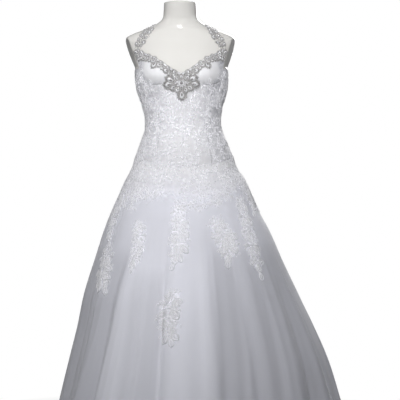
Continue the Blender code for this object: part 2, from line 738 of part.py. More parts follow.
STRAP_WALL = 0.0022
STRAP_LIFT = 0.0004
STRAP_RAIL = 0.0045      # width of each side rail
# Strap's middle line on the right side: share, x, y guide, z, half width; front from the corner up
STRAP_FRONT = (
    (0.00, 0.1450, -0.060, 1.3160, 0.009),
    (0.20, 0.1420, -0.062, 1.3310, 0.012),
    (0.45, 0.1290, -0.062, 1.3500, 0.015),
    (0.70, 0.1160, -0.050, 1.3700, 0.016),
    (0.88, 0.1060, -0.030, 1.3860, 0.016),
    (1.00, 0.1005, -0.003, 1.3950, 0.016),
)
STRAP_BACK = (
    (0.00, 0.1005, 0.0035, 1.3950, 0.016),
    (0.15, 0.0980, 0.035, 1.3850, 0.016),
    (0.40, 0.0920, 0.080, 1.3450, 0.015),
    (0.70, 0.0860, 0.105, 1.2950, 0.014),
    (1.00, 0.0800, 0.110, 1.2420, 0.013),
)


def strap(name, tree, table, way, cells):
    """Open beaded band over the shoulder: two rails, with a bar of beads after each gap."""
    rows = 2 * cells + 1
    t = np.linspace(0, 1, rows + 1)
    line = np.stack([way * along(table, 1, t), along(table, 2, t), along(table, 3, t)], -1)
    line = np.stack([tree.find_nearest(Vector(point))[0] for point in line])
    half = along(table, 4, t)[:, None]
    ahead = np.gradient(line, axis=0)
    ahead /= np.linalg.norm(ahead, axis=1, keepdims=True)
    out = np.stack([tree.find_nearest(Vector(point))[1] for point in line])
    beside = np.cross(ahead, out)
    beside /= np.linalg.norm(beside, axis=1, keepdims=True)
    wave = 1 + 0.10 * np.cos(pi * np.arange(rows + 1))[:, None]
    edges = (-half * wave, -(half - STRAP_RAIL), half - STRAP_RAIL, half * wave)
    guide = np.stack([line + beside * edge for edge in edges], 1)
    keep = np.ones((rows, 3), bool)
    keep[1::2, 1] = False
    lay_on(name, tree, guide, keep, STRAP_LIFT, STRAP_WALL, SILVER, crown=0.0008, roughness=0.3, metallic=0.5)


def straps(form):
    """Front and back length on each side, laid over the form's shoulders."""
    graph = bpy.context.evaluated_depsgraph_get()
    tree = BVHTree.FromObject(form, graph)
    for side, way in (("left", -1), ("right", 1)):
        strap("strap_front_" + side, tree, STRAP_FRONT, way, 6)
        strap("strap_back_" + side, tree, STRAP_BACK, way, 8)


TRIM_WALL = 0.0024
TRIM_START = 4.4         # angles where the neckline's band starts and ends
TRIM_END = 54.5


def on_bodice(guide):
    """Points and normals of the bodice's outer skin for a grid of (angle, height) pairs."""
    angle, z = guide[..., 0], guide[..., 1]
    out = normals(form_surface, angle, z)
    skin = form_surface(angle, z) + (BODICE_CLEAR + BODICE_WALL) * out
    return skin, out


def neckline_trim(name, tree, way):
    """Beaded band of leaf and fan shapes along the neckline, from its point to the strap's corner."""
    leaves = 7
    keep = leafy_cells(leaves)
    rows = keep.shape[0] + 1
    t = np.linspace(0, 1, rows)
    angle = TRIM_START + t * (TRIM_END - TRIM_START)
    z = along(TOP_EDGE, 1, angle) - 0.006 + 0.003 * t
    line = np.stack([angle, z], -1)
    radius = along(FORM, 1, z)
    ahead = np.gradient(np.stack([np.radians(angle) * radius, z], -1), axis=0)
    ahead /= np.linalg.norm(ahead, axis=1, keepdims=True)
    beside = np.stack([ahead[:, 1], -ahead[:, 0]], -1)
    tip = np.zeros((rows, 2))
    for leaf in range(leaves):
        start = 1 + leaf * 3
        swell = 1.0 + 0.45 * (leaf == leaves - 1) + 0.18 * (-1) ** leaf
        hanging = 1.0 + 0.8 * (leaf == leaves // 2)
        for row, size in ((start, 0.55), (start + 1, 1.0), (start + 2, 0.65)):
            tip[row] = size * swell * np.array([0.0075, 0.0110 * hanging])
    stem = 0.0045
    edges = (-(stem + tip[:, 0]), np.full(rows, -stem), np.full(rows, stem), stem + tip[:, 1])
    grid = []
    for edge in edges:
        moved = beside * edge[:, None]
        grid.append(np.stack([angle + np.degrees(moved[:, 0] / radius), z + moved[:, 1]], -1))
    guide = np.stack(grid, 1)
    place_on_bodice(name, tree, guide, keep, way)


def place_on_bodice(name, tree, guide, keep, way):
    """Wall over the bodice's outer skin, from a guide grid of (angle, height) whose columns run to +angle."""
    if way < 0:
        guide = guide[:, ::-1] * (-1, 1)
        keep = keep[:, ::-1]
    skin, out = on_bodice(guide)
    raised = np.full(guide.shape[1], TRIM_WALL)
    raised[1:-1] += 0.0010
    inner = cleared(tree, skin + LIE * out, out, LIE)
    outer = inner + raised[None, :, None] * out
    wall(name, outer, inner, SILVER, keep, roughness=0.3, metallic=0.5)


# Centre motif: height below its top, half width of the stem, reach of the leaves past it, their lift
MOTIF_TOP_Z = 1.2130
MOTIF = (
    (0.000, 0.0045, 0.0000, 0.000),
    (0.004, 0.0065, 0.0230, 0.001),
    (0.012, 0.0080, 0.0500, 0.007),
    (0.022, 0.0075, 0.0340, 0.002),
    (0.029, 0.0045, 0.0000, 0.000),
    (0.032, 0.0060, 0.0140, -0.002),
    (0.039, 0.0065, 0.0230, -0.005),
    (0.045, 0.0050, 0.0120, -0.004),
    (0.050, 0.0040, 0.0000, 0.000),
    (0.057, 0.0080, 0.0000, 0.000),
    (0.066, 0.0120, 0.0000, 0.000),
    (0.076, 0.0080, 0.0000, 0.000),
    (0.084, 0.0020, 0.0000, 0.000),
)


def centre_motif(tree):
    """Wings, petals and a pointed drop under the neckline's point."""
    rows = np.array(MOTIF)
    z = (MOTIF_TOP_Z - rows[:, 0])[::-1]
    stem, reach, lift = rows[::-1, 1], rows[::-1, 2], rows[::-1, 3]
    edges = (-(stem + reach), -stem, stem, stem + reach)
    radius = along(FORM, 1, z)
    grid = [np.stack([np.degrees(edge / radius), z + (lift if abs(i - 1.5) > 1 else 0)], -1)
            for i, edge in enumerate(edges)]
    keep = np.zeros((len(rows) - 1, 3), bool)
    keep[:, 1] = True
    winged = reach > 0
    keep[:, 0] = keep[:, 2] = winged[1:] & winged[:-1]
    place_on_bodice("neckline_motif", tree, np.stack(grid, 1), keep, 1)


def lean():
    """Shears everything above LEAN_Z a little to -X, as the figure stands."""
    for group in (PARTS, CUTTERS):
        for part in group.objects:
            for vertex in part.data.vertices:
                vertex.co.x -= LEAN * min(max(vertex.co.z - LEAN_Z, 0.0), LEAN_RUN)


# ---------------------------------------------------------------- build
for leftover in list(bpy.data.objects):
    bpy.data.objects.remove(leftover, do_unlink=True)
PARTS = collection_named("wedding_dress")
CUTTERS = collection_named("cutters")
CUTTERS.hide_render = True

body = form_body()
stand()
bodice_tree = bodice()
back_placket(bodice_tree)
overlay_tree = skirt()
sprigs(overlay_tree)
bpy.context.view_layer.update()
straps(body)
neckline_trim("neckline_trim_right", bodice_tree, 1)
neckline_trim("neckline_trim_left", bodice_tree, -1)
centre_motif(bodice_tree)
lean()
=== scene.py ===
"""Looks of a white wedding dress on a limbless dress form: cloth, lace, beads, form and studio.

Metres, +Z up, the dress's front towards -Y. An angle is 0 at the centre front and grows towards +X.
Each surface is a function of two parameters; grids of it are computed as whole arrays.
"""
from math import pi, radians

import bpy
import numpy as np
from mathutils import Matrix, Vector
from mathutils.bvhtree import BVHTree


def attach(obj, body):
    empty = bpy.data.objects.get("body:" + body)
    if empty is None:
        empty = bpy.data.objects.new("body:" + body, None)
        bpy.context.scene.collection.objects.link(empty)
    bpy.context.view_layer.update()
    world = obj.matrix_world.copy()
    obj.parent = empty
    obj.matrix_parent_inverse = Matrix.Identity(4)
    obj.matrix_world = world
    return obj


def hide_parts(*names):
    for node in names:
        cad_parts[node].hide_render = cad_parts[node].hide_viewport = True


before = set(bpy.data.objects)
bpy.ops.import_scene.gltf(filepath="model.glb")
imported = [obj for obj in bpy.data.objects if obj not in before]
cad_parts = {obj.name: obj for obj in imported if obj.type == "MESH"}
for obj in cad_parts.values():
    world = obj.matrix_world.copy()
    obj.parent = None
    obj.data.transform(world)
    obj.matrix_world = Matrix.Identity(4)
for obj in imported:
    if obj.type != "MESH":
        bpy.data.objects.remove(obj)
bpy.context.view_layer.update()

BODY = "root"

# ---------------------------------------------------------------- sizes of the garment
BODICE_CLEAR = 0.0020    # bodice lining to the form
BODICE_WALL = 0.0016
SATIN_CLEAR = 0.0008     # top of the satin skirt to the form
SATIN_WALL = 0.0011
TULLE_WALL = 0.0005
SATIN_IN = 0.004         # satin hangs this far inside the deepest fold of the tulle
HEM_Z = 0.008            # tulle hem above the floor
SATIN_HEM_RISE = 0.006
SEAM_SIDE_Z = 0.940      # dropped-waist seam at the hips
SEAM_DIP = 0.028         # and how much lower it runs at the centre front and back
FLARE_RUN = 0.055        # height over which the skirt leaves the hip's line

# Form: height, half width, depth to the front, depth to the back
FORM = (
    (0.780, 0.160, 0.104, 0.116),
    (0.820, 0.166, 0.107, 0.121),
    (0.860, 0.170, 0.109, 0.124),
    (0.900, 0.171, 0.109, 0.123),
    (0.940, 0.1645, 0.107, 0.117),
    (0.975, 0.1520, 0.104, 0.105),
    (1.005, 0.1405, 0.100, 0.093),
    (1.035, 0.1290, 0.095, 0.084),
    (1.063, 0.1250, 0.092, 0.080),
    (1.090, 0.1258, 0.092, 0.080),
    (1.120, 0.1320, 0.095, 0.084),
    (1.150, 0.1415, 0.098, 0.089),
    (1.175, 0.1490, 0.100, 0.093),
    (1.200, 0.1530, 0.100, 0.097),
    (1.227, 0.1550, 0.099, 0.100),
    (1.254, 0.1580, 0.096, 0.103),
    (1.281, 0.1700, 0.092, 0.105),
    (1.308, 0.1830, 0.086, 0.104),
    (1.332, 0.1910, 0.079, 0.099),
    (1.350, 0.1900, 0.0713, 0.090),
    (1.362, 0.1750, 0.0663, 0.083),
    (1.373, 0.1500, 0.0619, 0.077),
    (1.383, 0.1220, 0.0580, 0.071),
    (1.393, 0.0980, 0.0524, 0.066),
    (1.403, 0.0800, 0.0498, 0.062),
    (1.414, 0.0660, 0.049, 0.058),
    (1.426, 0.0590, 0.050, 0.054),
    (1.440, 0.0573, 0.051, 0.050),
    (1.458, 0.0562, 0.053, 0.047),
    (1.472, 0.0556, 0.054, 0.045),
)
NECK_TOP_Z = 1.475
BUST_X = 0.084
BUST_Z = 1.226
BUST_RISE = 0.031        # of the cups
FORM_BUST_RISE = 0.020   # of the form under them
BUST_WIDTH = 0.052
BUST_FADE = 2.2
BUST_ABOVE = 0.060
BUST_BELOW = 0.042

# Arm faces: a flat cut on each side
ARM_X = 0.1575
ARM_Z = 1.254
ARM_LEAN = 0.270
ARM_TURN = 0.245
ARM_MARGIN = 0.006
ARM_LOW_Z = 1.252
ARM_ROUND = 0.0014       # softness of the cut's edge
FORM_SHOULDER_Z = 1.345

TOP_EDGE = (
    (0, 1.2268), (11, 1.2400), (18, 1.2520), (25, 1.2665), (38, 1.2905), (50, 1.3035), (57, 1.3080),
    (70, 1.2900), (82, 1.2440), (100, 1.2430), (125, 1.2410), (150, 1.2360), (180, 1.2280),
)
UNDER_BUST = (
    (0, 1.2100), (20, 1.1960), (38, 1.1900), (55, 1.2020), (68, 1.2220), (90, 1.2180), (180, 1.2000),
)
SEAMS = (
    (0.86, 33, 64, 112, 150),
    (0.97, 35, 64, 112, 150),
    (1.06, 38, 64, 112, 151),
    (1.19, 45, 68, 112, 152),
    (1.33, 47, 70, 112, 152),
)

# Skirt's outline over its folds: height, reach to -X, to +X, to the front, to the back
SKIRT = (
    (0.000, 0.449, 0.566, 0.425, 0.590),
    (0.139, 0.420, 0.527, 0.394, 0.534),
    (0.275, 0.388, 0.484, 0.361, 0.480),
    (0.383, 0.362, 0.437, 0.331, 0.433),
    (0.492, 0.340, 0.384, 0.298, 0.382),
    (0.601, 0.305, 0.333, 0.258, 0.325),
    (0.710, 0.270, 0.285, 0.211, 0.265),
    (0.764, 0.249, 0.255, 0.184, 0.231),
    (0.819, 0.224, 0.230, 0.155, 0.194),
    (0.873, 0.198, 0.205, 0.129, 0.156),
    (0.900, 0.1855, 0.189, 0.119, 0.139),
    (0.930, 0.1760, 0.1775, 0.1145, 0.1275),
)
# Troughs between the tulle's large folds: angle at the top, at the hem, depth at the hem, start height
FOLDS = (
    (-170, -172, 0.022, 0.74),
    (-154, -155, 0.018, 0.66),
    (-138, -139, 0.024, 0.72),
    (-120, -122, 0.016, 0.60),
    (-102, -105, 0.021, 0.68),
    (-84, -88, 0.015, 0.56),
    (-64, -70, 0.018, 0.62),
    (-42, -52, 0.025, 0.66),
    (-22, -30, 0.010, 0.50),
    (-8, -12, 0.017, 0.64),
    (20, 15, 0.021, 0.74),
    (44, 35, 0.014, 0.52),
    (63, 56, 0.025, 0.60),
    (81, 76, 0.017, 0.55),
    (98, 94, 0.022, 0.66),
    (115, 112, 0.015, 0.58),
    (133, 131, 0.024, 0.70),
    (151, 150, 0.017, 0.62),
    (168, 168, 0.020, 0.72),
)
FOLD_SHARP = 1.4
FOLD_GROW = 0.85
DEEPEST = max(row[2] for row in FOLDS)
# Main creases of the tulle: angle where it starts, height there, angle at the hem, depth at the hem
# (a ridge is below zero), half width towards the left and towards the right
CREASES = (
    (-10.5, 0.74, -12.7, 0.0230, 0.030, 0.007), (-3.0, 0.74, -4.0, -0.0150, 0.026, 0.036),
    (8.0, 0.62, 6.0, 0.0050, 0.016, 0.014), (29.0, 0.80, 29.4, 0.0400, 0.072, 0.020),
    (14.0, 0.72, 11.3, -0.0110, 0.034, 0.009), (31.0, 0.60, 26.0, -0.0070, 0.010, 0.013),
    (43.0, 0.58, 38.5, 0.0090, 0.026, 0.020), (50.5, 0.46, 44.0, -0.0060, 0.012, 0.013),
    (58.0, 0.52, 55.0, 0.0110, 0.010, 0.020), (80.0, 0.50, 64.0, -0.0090, 0.016, 0.013),
    (-16.0, 0.58, -18.0, 0.0050, 0.012, 0.014), (-24.0, 0.72, -32.0, -0.0140, 0.040, 0.030),
    (-38.5, 0.68, -50.0, 0.0170, 0.024, 0.010), (-47.5, 0.56, -61.0, -0.0080, 0.014, 0.018),
    (-62.0, 0.60, -74.0, 0.0085, 0.014, 0.014), (-78.0, 0.66, -85.0, -0.0080, 0.018, 0.012),
    (-92.0, 0.58, -94.0, 0.0095, 0.012, 0.020), (-108.0, 0.70, -111.0, -0.0090, 0.016, 0.018),
    (-116.0, 0.52, -121.0, 0.0080, 0.016, 0.010), (-129.0, 0.64, -130.0, -0.0085, 0.014, 0.020),
    (-143.0, 0.60, -145.0, 0.0100, 0.020, 0.011), (-151.0, 0.46, -152.0, -0.0070, 0.012, 0.014),
    (-161.0, 0.68, -163.0, 0.0090, 0.012, 0.022), (-172.0, 0.58, -176.0, -0.0085, 0.018, 0.014),
    (172.0, 0.66, 174.0, 0.0095, 0.014, 0.018), (161.0, 0.54, 160.0, -0.0080, 0.016, 0.016),
    (146.0, 0.70, 147.0, 0.0100, 0.022, 0.012), (138.0, 0.50, 139.0, -0.0075, 0.012, 0.014),
    (127.0, 0.62, 125.0, 0.0085, 0.014, 0.016), (118.0, 0.66, 116.0, -0.0085, 0.018, 0.014),
    (106.0, 0.56, 103.0, 0.0095, 0.012, 0.022), (95.0, 0.64, 90.0, -0.0080, 0.016, 0.014),
    (86.0, 0.48, 79.0, 0.0085, 0.014, 0.012),
)
CREASE_GROW = 0.80
CREASE_START = 0.7       # share of its half width that a crease has where it starts
CREASE_WIDEN = 0.9       # and what it gains down to the hem
# Small ripples on the tulle: waves round the skirt, share of the height, phase, drift down the skirt
RIPPLES = ((53, 0.50, 1.3, 2.0), (71, 0.35, 4.2, -3.1), (31, 0.45, 2.2, 4.4), (97, 0.22, 0.7, 1.3))
RIPPLE = 0.0021
RIPPLE_TOP_Z = 0.80      # ripples come in below this height, over this run
RIPPLE_RUN = 0.75

# Zones of painted shade on the tulle, a darker tone laid where shade falls: from angle to angle at the top,
# the same at the hem, softness of the two edges in degrees, height where the zone starts, strength
PAINTED_SHADE = (
    (17.5, 96.0, 12.2, 96.0, 1.6, 16.0, 0.72, 0.85),
    (-100.0, -33.0, -100.0, -45.0, 16.0, 2.6, 0.70, 0.8),
    (-32.0, -10.5, -34.0, -13.0, 6.0, 1.6, 0.64, 0.4),
    (-166.0, -134.0, -168.0, -132.0, 3.0, 8.0, 0.68, 0.8),
    (128.0, 158.0, 126.0, 160.0, 8.0, 3.0, 0.70, 0.8),
)
# Painted shade: each zone comes in over this run, and the top of the skirt near the hips is darkened by
# painted shade.
PAINTED_SHADE_RUN = 0.12        # height over which a zone comes in
HIP_PAINTED_SHADE = 0.40        # share near the hips, which comes in above this height over this run
HIP_PAINTED_SHADE_Z = 0.50
HIP_PAINTED_SHADE_RUN = 0.22

LEAN = 0.034             # the figure leans to -X by this much for each metre above LEAN_Z
LEAN_Z = 0.950
LEAN_RUN = 0.390         # above this run the neck stands upright

# Soft pulls in the bodice: angle, height, half length in degrees, tilt in metres a degree, depth,
# half width
PULLS = (
    (-8, 1.118, 26, 0.00010, 0.0011, 0.0065), (14, 1.101, 22, -0.00016, 0.0012, 0.0070),
    (-18, 1.084, 20, 0.00018, 0.0010, 0.0060), (30, 1.072, 24, 0.00022, 0.0012, 0.0070),
    (2, 1.058, 30, -0.00008, 0.0010, 0.0065), (-34, 1.050, 18, 0.00030, 0.0011, 0.0065),
    (22, 1.036, 20, -0.00024, 0.0009, 0.0060), (-62, 1.072, 24, -0.00020, 0.0011, 0.0070),
    (66, 1.052, 22, 0.00022, 0.0011, 0.0065), (80, 1.084, 20, -0.00018, 0.0010, 0.0065),
    (-86, 1.044, 22, 0.00020, 0.0011, 0.0070), (118, 1.066, 24, 0.00018, 0.0011, 0.0070),
    (140, 1.084, 20, -0.00016, 0.0010, 0.0065), (-124, 1.078, 26, 0.00014, 0.0011, 0.0065),
    (-146, 1.052, 20, -0.00020, 0.0010, 0.0070), (162, 1.046, 16, 0.00020, 0.0010, 0.0065),
)


# ---------------------------------------------------------------- curves through tables
def along(rows, column, at):
    """One column of a table as a smooth curve over its first column: a cubic between rows."""
    xs = np.array([row[0] for row in rows], float)
    ys = np.array([row[column] for row in rows], float)
    at = np.asarray(at, float)
    slopes = np.gradient(ys, xs)
    i = np.clip(np.searchsorted(xs, at) - 1, 0, len(xs) - 2)
    run = xs[i + 1] - xs[i]
    t = np.clip((at - xs[i]) / run, 0.0, 1.0)
    start = (1 + 2 * t) * (1 - t) ** 2 * ys[i] + t * (1 - t) ** 2 * run * slopes[i]
    end = t ** 2 * (3 - 2 * t) * ys[i + 1] + t ** 2 * (t - 1) * run * slopes[i + 1]
    return start + end


def ease(t):
    """0 below 0, 1 above 1, and a smooth S between."""
    t = np.clip(t, 0.0, 1.0)
    return t * t * (3 - 2 * t)


def unit(vectors):
    """Vectors of length one."""
    return vectors / np.linalg.norm(vectors, axis=-1, keepdims=True)


# ---------------------------------------------------------------- the garment's surfaces
TURN_STEP = 0.02         # steps in degrees and metres over which a slope of the form is taken
RISE_STEP = 1e-4


def form_surface(angle, z, rise=BUST_RISE):
    """Two half ellipses at each height, joined at the sides, with two mounds in front for the cups."""
    turn = np.radians(angle)
    side, fore = np.sin(turn), np.cos(turn)
    x = along(FORM, 1, z) * side
    y = -np.where(fore > 0, along(FORM, 2, z), along(FORM, 3, z)) * fore
    tall = np.where(z > BUST_Z, BUST_ABOVE, BUST_BELOW)
    mound = sum(
        np.exp(-((x - way * BUST_X) / BUST_WIDTH) ** 2 - ((z - BUST_Z) / tall) ** 2) for way in (-1, 1))
    y = y - rise * mound * ease(BUST_FADE * fore)
    return np.stack([x, y, z + 0.0 * x], -1)


def form_normals(angle, z):
    """Outward unit normals of the form's surface."""
    across = form_surface(angle + TURN_STEP, z) - form_surface(angle - TURN_STEP, z)
    up = form_surface(angle, z + RISE_STEP) - form_surface(angle, z - RISE_STEP)
    return unit(np.cross(across, up))


def pulls(angle, z):
    """Soft creases of the bodice: each a bell across its line, fading as a bell along it."""
    depth = 0.0 * angle
    for middle, height, run, tilt, deep, wide in PULLS:
        off = (angle - middle + 180) % 360 - 180
        depth = depth + deep * np.exp(-((z - height - tilt * off) / wide) ** 2 - (off / run) ** 2)
    return depth


def bodice_point(angle, z, lift=0.0):
    """Bodice's outer skin, a lift above it along its normal; the pulls dip into it."""
    out = form_normals(angle, z)
    height = BODICE_CLEAR + BODICE_WALL - pulls(angle, z) + lift
    return form_surface(angle, z) + height[..., None] * out


def seam_height(angle):
    """Dropped-waist seam: highest at the hips, a little lower at the centre front and back."""
    return SEAM_SIDE_Z - SEAM_DIP * np.cos(np.radians(angle)) ** 2


def skirt_outline(angle, z):
    """Plan at each height: four quarter ellipses with their own reach to each side, front and back."""
    turn = np.radians(angle)
    side, fore = np.sin(turn), np.cos(turn)
    x = np.where(side > 0, along(SKIRT, 2, z), along(SKIRT, 1, z)) * side
    y = -np.where(fore > 0, along(SKIRT, 3, z), along(SKIRT, 4, z)) * fore
    return np.stack([x, y, z + 0.0 * x], -1)


def fold_depth(column, z):
    """Depth of the folds at a column counted in folds: raised cosines about each trough, and ripples."""
    count = len(FOLDS)
    near = np.floor(column + 0.5).astype(int)
    away = np.abs(column - near)
    depth = np.array([row[2] for row in FOLDS])[near % count]
    start = np.array([row[3] for row in FOLDS])[near % count]
    grown = np.clip((start - z) / start, 0.0, 1.0) ** FOLD_GROW
    deep = depth * grown * (0.5 + 0.5 * np.cos(2 * pi * away)) ** FOLD_SHARP
    ripple = sum(
        share * np.sin(2 * pi * waves * column / count + phase + drift * z)
        for waves, share, phase, drift in RIPPLES)
    return deep + RIPPLE * ease((RIPPLE_TOP_Z - z) / RIPPLE_RUN) * ripple


def crease_depth(angle, z, radius):
    """Depth of the main creases: a bell across each line, with its own half width on either side."""
    deep = 0.0 * angle
    for start_angle, start, hem_angle, depth, left, right in CREASES:
        run = np.clip((start - z) / start, 0.0, 1.0)
        off = (angle - start_angle - (hem_angle - start_angle) * run + 180) % 360 - 180
        off = np.radians(off) * radius
        half = np.where(off < 0, left, right) * (CREASE_START + CREASE_WIDEN * run)
        deep = deep + depth * run ** CREASE_GROW * np.exp(-(off / half) ** 2)
    return deep


def painted_shade_share(angle, z):
    """0 where the tulle keeps its own tone, towards 1 in the zones of painted shade and in painted shade
    near the hips.

    Each zone is a product of three soft steps: past its first edge, before its last, and below its start.
    """
    angle = (angle + 180.0) % 360.0 - 180.0
    shade = 0.0 * angle
    for top_from, top_to, hem_from, hem_to, soft_from, soft_to, start, strength in PAINTED_SHADE:
        run = np.clip((start - z) / start, 0.0, 1.0)
        first = top_from + (hem_from - top_from) * run
        last = top_to + (hem_to - top_to) * run
        inside = ease((angle - first) / soft_from) * ease((last - angle) / soft_to)
        shade = np.maximum(shade, strength * inside * ease((start - z) / PAINTED_SHADE_RUN))
    return np.maximum(shade, HIP_PAINTED_SHADE * ease((z - HIP_PAINTED_SHADE_Z) / HIP_PAINTED_SHADE_RUN))


def column_angle(column, share):
    """Angle of a column that is counted in folds, a share of the way down."""
    count = len(FOLDS)
    lower = np.floor(column).astype(int)
    part = column - lower
    tops = np.array([row[0] for row in FOLDS], float)
    hems = np.array([row[1] for row in FOLDS], float)
    first, second = lower % count, (lower + 1) % count
    turns = 360.0 * (lower // count)
    wrap = np.where(second == 0, 360.0, 0.0)
    top = tops[first] * (1 - part) + (tops[second] + wrap) * part + turns
    hem = hems[first] * (1 - part) + (hems[second] + wrap) * part + turns
    return top + (hem - top) * share


def skirt_surface(column, share, layer):
    """Tulle or satin skin: leaves the hip's line over FLARE_RUN and then follows the skirt's outline.

    The tulle lies inside the outline by its folds and creases; the satin clears the deepest fold and takes
    on the same creases.
    """
    angle = column_angle(column, share)
    top = seam_height(angle)
    hem = HEM_Z if layer == "tulle" else HEM_Z + SATIN_HEM_RISE
    z = top * (1 - share) + hem * share
    clear = BODICE_CLEAR + BODICE_WALL if layer == "tulle" else SATIN_CLEAR + SATIN_WALL
    hip = form_surface(angle, z) + clear * form_normals(angle, z)
    wide = skirt_outline(angle, z)
    radius = np.hypot(wide[..., 0], wide[..., 1])
    if layer == "tulle":
        inward = fold_depth(column, z)
    else:
        inward = SATIN_IN + DEEPEST * np.clip((top - z) / top, 0.0, 1.0)
    inward = inward + crease_depth(angle, z, radius)
    wide[..., :2] *= (1 - inward / radius)[..., None]
    out = ease((top - z) / FLARE_RUN)[..., None]
    return hip * (1 - out) + wide * out


def skirt_normals(column, share, layer):
    """Outward unit normals of the skirt, over column and share."""
    step = 0.004
    low, high = np.clip(share - step, 0, 1), np.clip(share + step, 0, 1)
    across = skirt_surface(column + step, share, layer) - skirt_surface(column - step, share, layer)
    up = skirt_surface(column, low, layer) - skirt_surface(column, high, layer)
    return unit(np.cross(across, up))


def overlay_point(angle, z, lift=0.0):
    """Tulle's outer skin at an angle and height, a lift above it: the column is found by steps."""
    angle = (angle + 180.0) % 360.0 - 180.0
    top = seam_height(angle)
    share = np.clip((top - z) / (top - HEM_Z), 0.0, 1.0)
    column = np.interp(angle, [row[0] for row in FOLDS], np.arange(len(FOLDS)))
    for _ in range(8):
        gap = (angle - column_angle(column, share) + 180.0) % 360.0 - 180.0
        column = column + gap * len(FOLDS) / 360.0
    skin = skirt_surface(column, share, "tulle")
    return skin + np.asarray(lift)[..., None] * skirt_normals(column, share, "tulle")


def arm_cut(y, z):
    """Distance from the centre of the flat arm face."""
    return ARM_X + ARM_LEAN * (z - ARM_Z) + ARM_TURN * y


def top_table():
    """Top of the bodice over the angle: the drawn neckline and back, kept below the form's arm faces."""
    angle = np.arange(0, 180.5, 0.5)
    levels = np.linspace(ARM_LOW_Z - ARM_MARGIN, FORM_SHOULDER_Z, 121)
    points = form_surface(angle[:, None], levels[None, :] + 0.0 * angle[:, None])
    past = points[..., 0] - arm_cut(points[..., 1], points[..., 2]) > -ARM_MARGIN
    armhole = np.where(past.any(-1), levels[past.argmax(-1)], levels[-1])
    return angle, np.minimum(along(TOP_EDGE, 1, angle), armhole)


TOP_ANGLES, TOP_HEIGHTS = top_table()


def top_edge(angle):
    """Height of the bodice's top edge at an angle."""
    return np.interp(np.abs(angle), TOP_ANGLES, TOP_HEIGHTS)


def leaned(points):
    """Points sheared a little to -X above LEAN_Z, as the figure stands."""
    points = np.array(points, float).reshape(-1, 3)
    points[:, 0] -= LEAN * np.clip(points[:, 2] - LEAN_Z, 0.0, LEAN_RUN)
    return points


# ---------------------------------------------------------------- meshes
def quads(rows, columns, wrap=False):
    """Quads of a grid whose rows run up and whose columns run to the right, seen from outside."""
    index = np.arange(rows * columns).reshape(rows, columns)
    right = np.roll(index, -1, 1) if wrap else index[:, 1:]
    index = index if wrap else index[:, :-1]
    return np.stack([index[:-1], right[:-1], right[1:], index[1:]], -1).reshape(-1, 4)


def strip_faces(line, other):
    """Quads between two runs of vertex numbers."""
    return np.stack([line[:-1], line[1:], other[1:], other[:-1]], -1)


def shell(outer, inner):
    """Points and quads of a closed wall: outer skin, inner skin turned over, and its four edges."""
    rows, columns = outer.shape[:2]
    index = np.arange(rows * columns).reshape(rows, columns)
    back = index + rows * columns
    faces = [quads(rows, columns), quads(rows, columns)[:, ::-1] + rows * columns]
    faces += [strip_faces(back[0], index[0]), strip_faces(index[-1], back[-1])]
    faces += [strip_faces(index[:, 0], back[:, 0]), strip_faces(back[:, -1], index[:, -1])]
    return np.concatenate([outer.reshape(-1, 3), inner.reshape(-1, 3)]), np.concatenate(faces)


def piece(name, parts, slot, replaces=(), flat_uv=None, marks=None, facets=False):
    """One object from several (points, faces, material) parts, leaned, riding on the only body.

    Tulle and lace are so thin that light passes through them, so they throw no shadow.
    """
    points = np.concatenate([leaned(part[0]) for part in parts])
    faces, numbers, start = [], [], 0
    for order, (some, some_faces, _) in enumerate(parts):
        faces += [[i + start for i in face] for face in some_faces] if isinstance(some_faces, list) \
            else [some_faces + start]
        numbers += [np.full(len(some_faces), order, np.int32)]
        start += len(np.reshape(some, (-1, 3)))
    mesh = bpy.data.meshes.new(name)
    if isinstance(faces[0], list):
        mesh.from_pydata(points.tolist(), [], faces)
    else:
        corners = np.concatenate(faces).astype(np.int32)
        mesh.vertices.add(len(points))
        mesh.vertices.foreach_set("co", points.astype(np.float32).ravel())
        mesh.loops.add(corners.size)
        mesh.loops.foreach_set("vertex_index", corners.ravel())
        mesh.polygons.add(len(corners))
        mesh.polygons.foreach_set("loop_start", np.arange(0, corners.size, 4, dtype=np.int32))
        mesh.update(calc_edges=True)
    for part in parts:
        mesh.materials.append(part[2])
    mesh.polygons.foreach_set("material_index", np.concatenate(numbers))
    if not facets:
        mesh.shade_smooth()
    if flat_uv is not None:
        layer = mesh.uv_layers.new(name="cut")
        corners = np.zeros(len(mesh.loops), np.int32)
        mesh.loops.foreach_get("vertex_index", corners)
        layer.data.foreach_set("uv", flat_uv[corners].astype(np.float32).ravel())
    if marks is not None:
        made = mesh.attributes.new("lace_and_painted_shade", "FLOAT", "POINT")
        made.data.foreach_set("value", marks.astype(np.float32))
    mesh.update()
    made = bpy.data.objects.new(name, mesh)
    bpy.context.scene.collection.objects.link(made)
    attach(made, BODY)
    made.visible_shadow = slot not in ("tulle", "lace")
    if replaces:
        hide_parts(*replaces)
    return made


def lengths(grid, axis):
    """Lengths run along a grid's rows (axis 1) or columns (axis 0), from its middle column or top."""
    steps = np.linalg.norm(np.diff(grid, axis=axis), axis=-1)
    total = np.cumsum(steps, axis=axis)
    pad = np.zeros_like(total[:1] if axis == 0 else total[:, :1])
    run = np.concatenate([pad, total], axis)
    return run - run[:, run.shape[1] // 2:run.shape[1] // 2 + 1] if axis == 1 else run


def cut_uv(outer):
    """Flat coordinates of a panel's cut in metres, for both skins."""
    flat = np.stack([lengths(outer, 1), lengths(outer, 0)], -1).reshape(-1, 2)
    return np.concatenate([flat, flat])


def cloth(stands_for, outer, out, thick, material, slot, marks=None):
    """A panel of cloth: a closed wall under its outer skin, with flat coordinates of its own cut."""
    points, faces = shell(outer, outer - thick * out)
    made = piece(stands_for + "_cloth", [(points, faces, material)], slot, (stands_for,), cut_uv(outer),
                 None if marks is None else np.concatenate([marks.ravel(), marks.ravel()]))
    return made


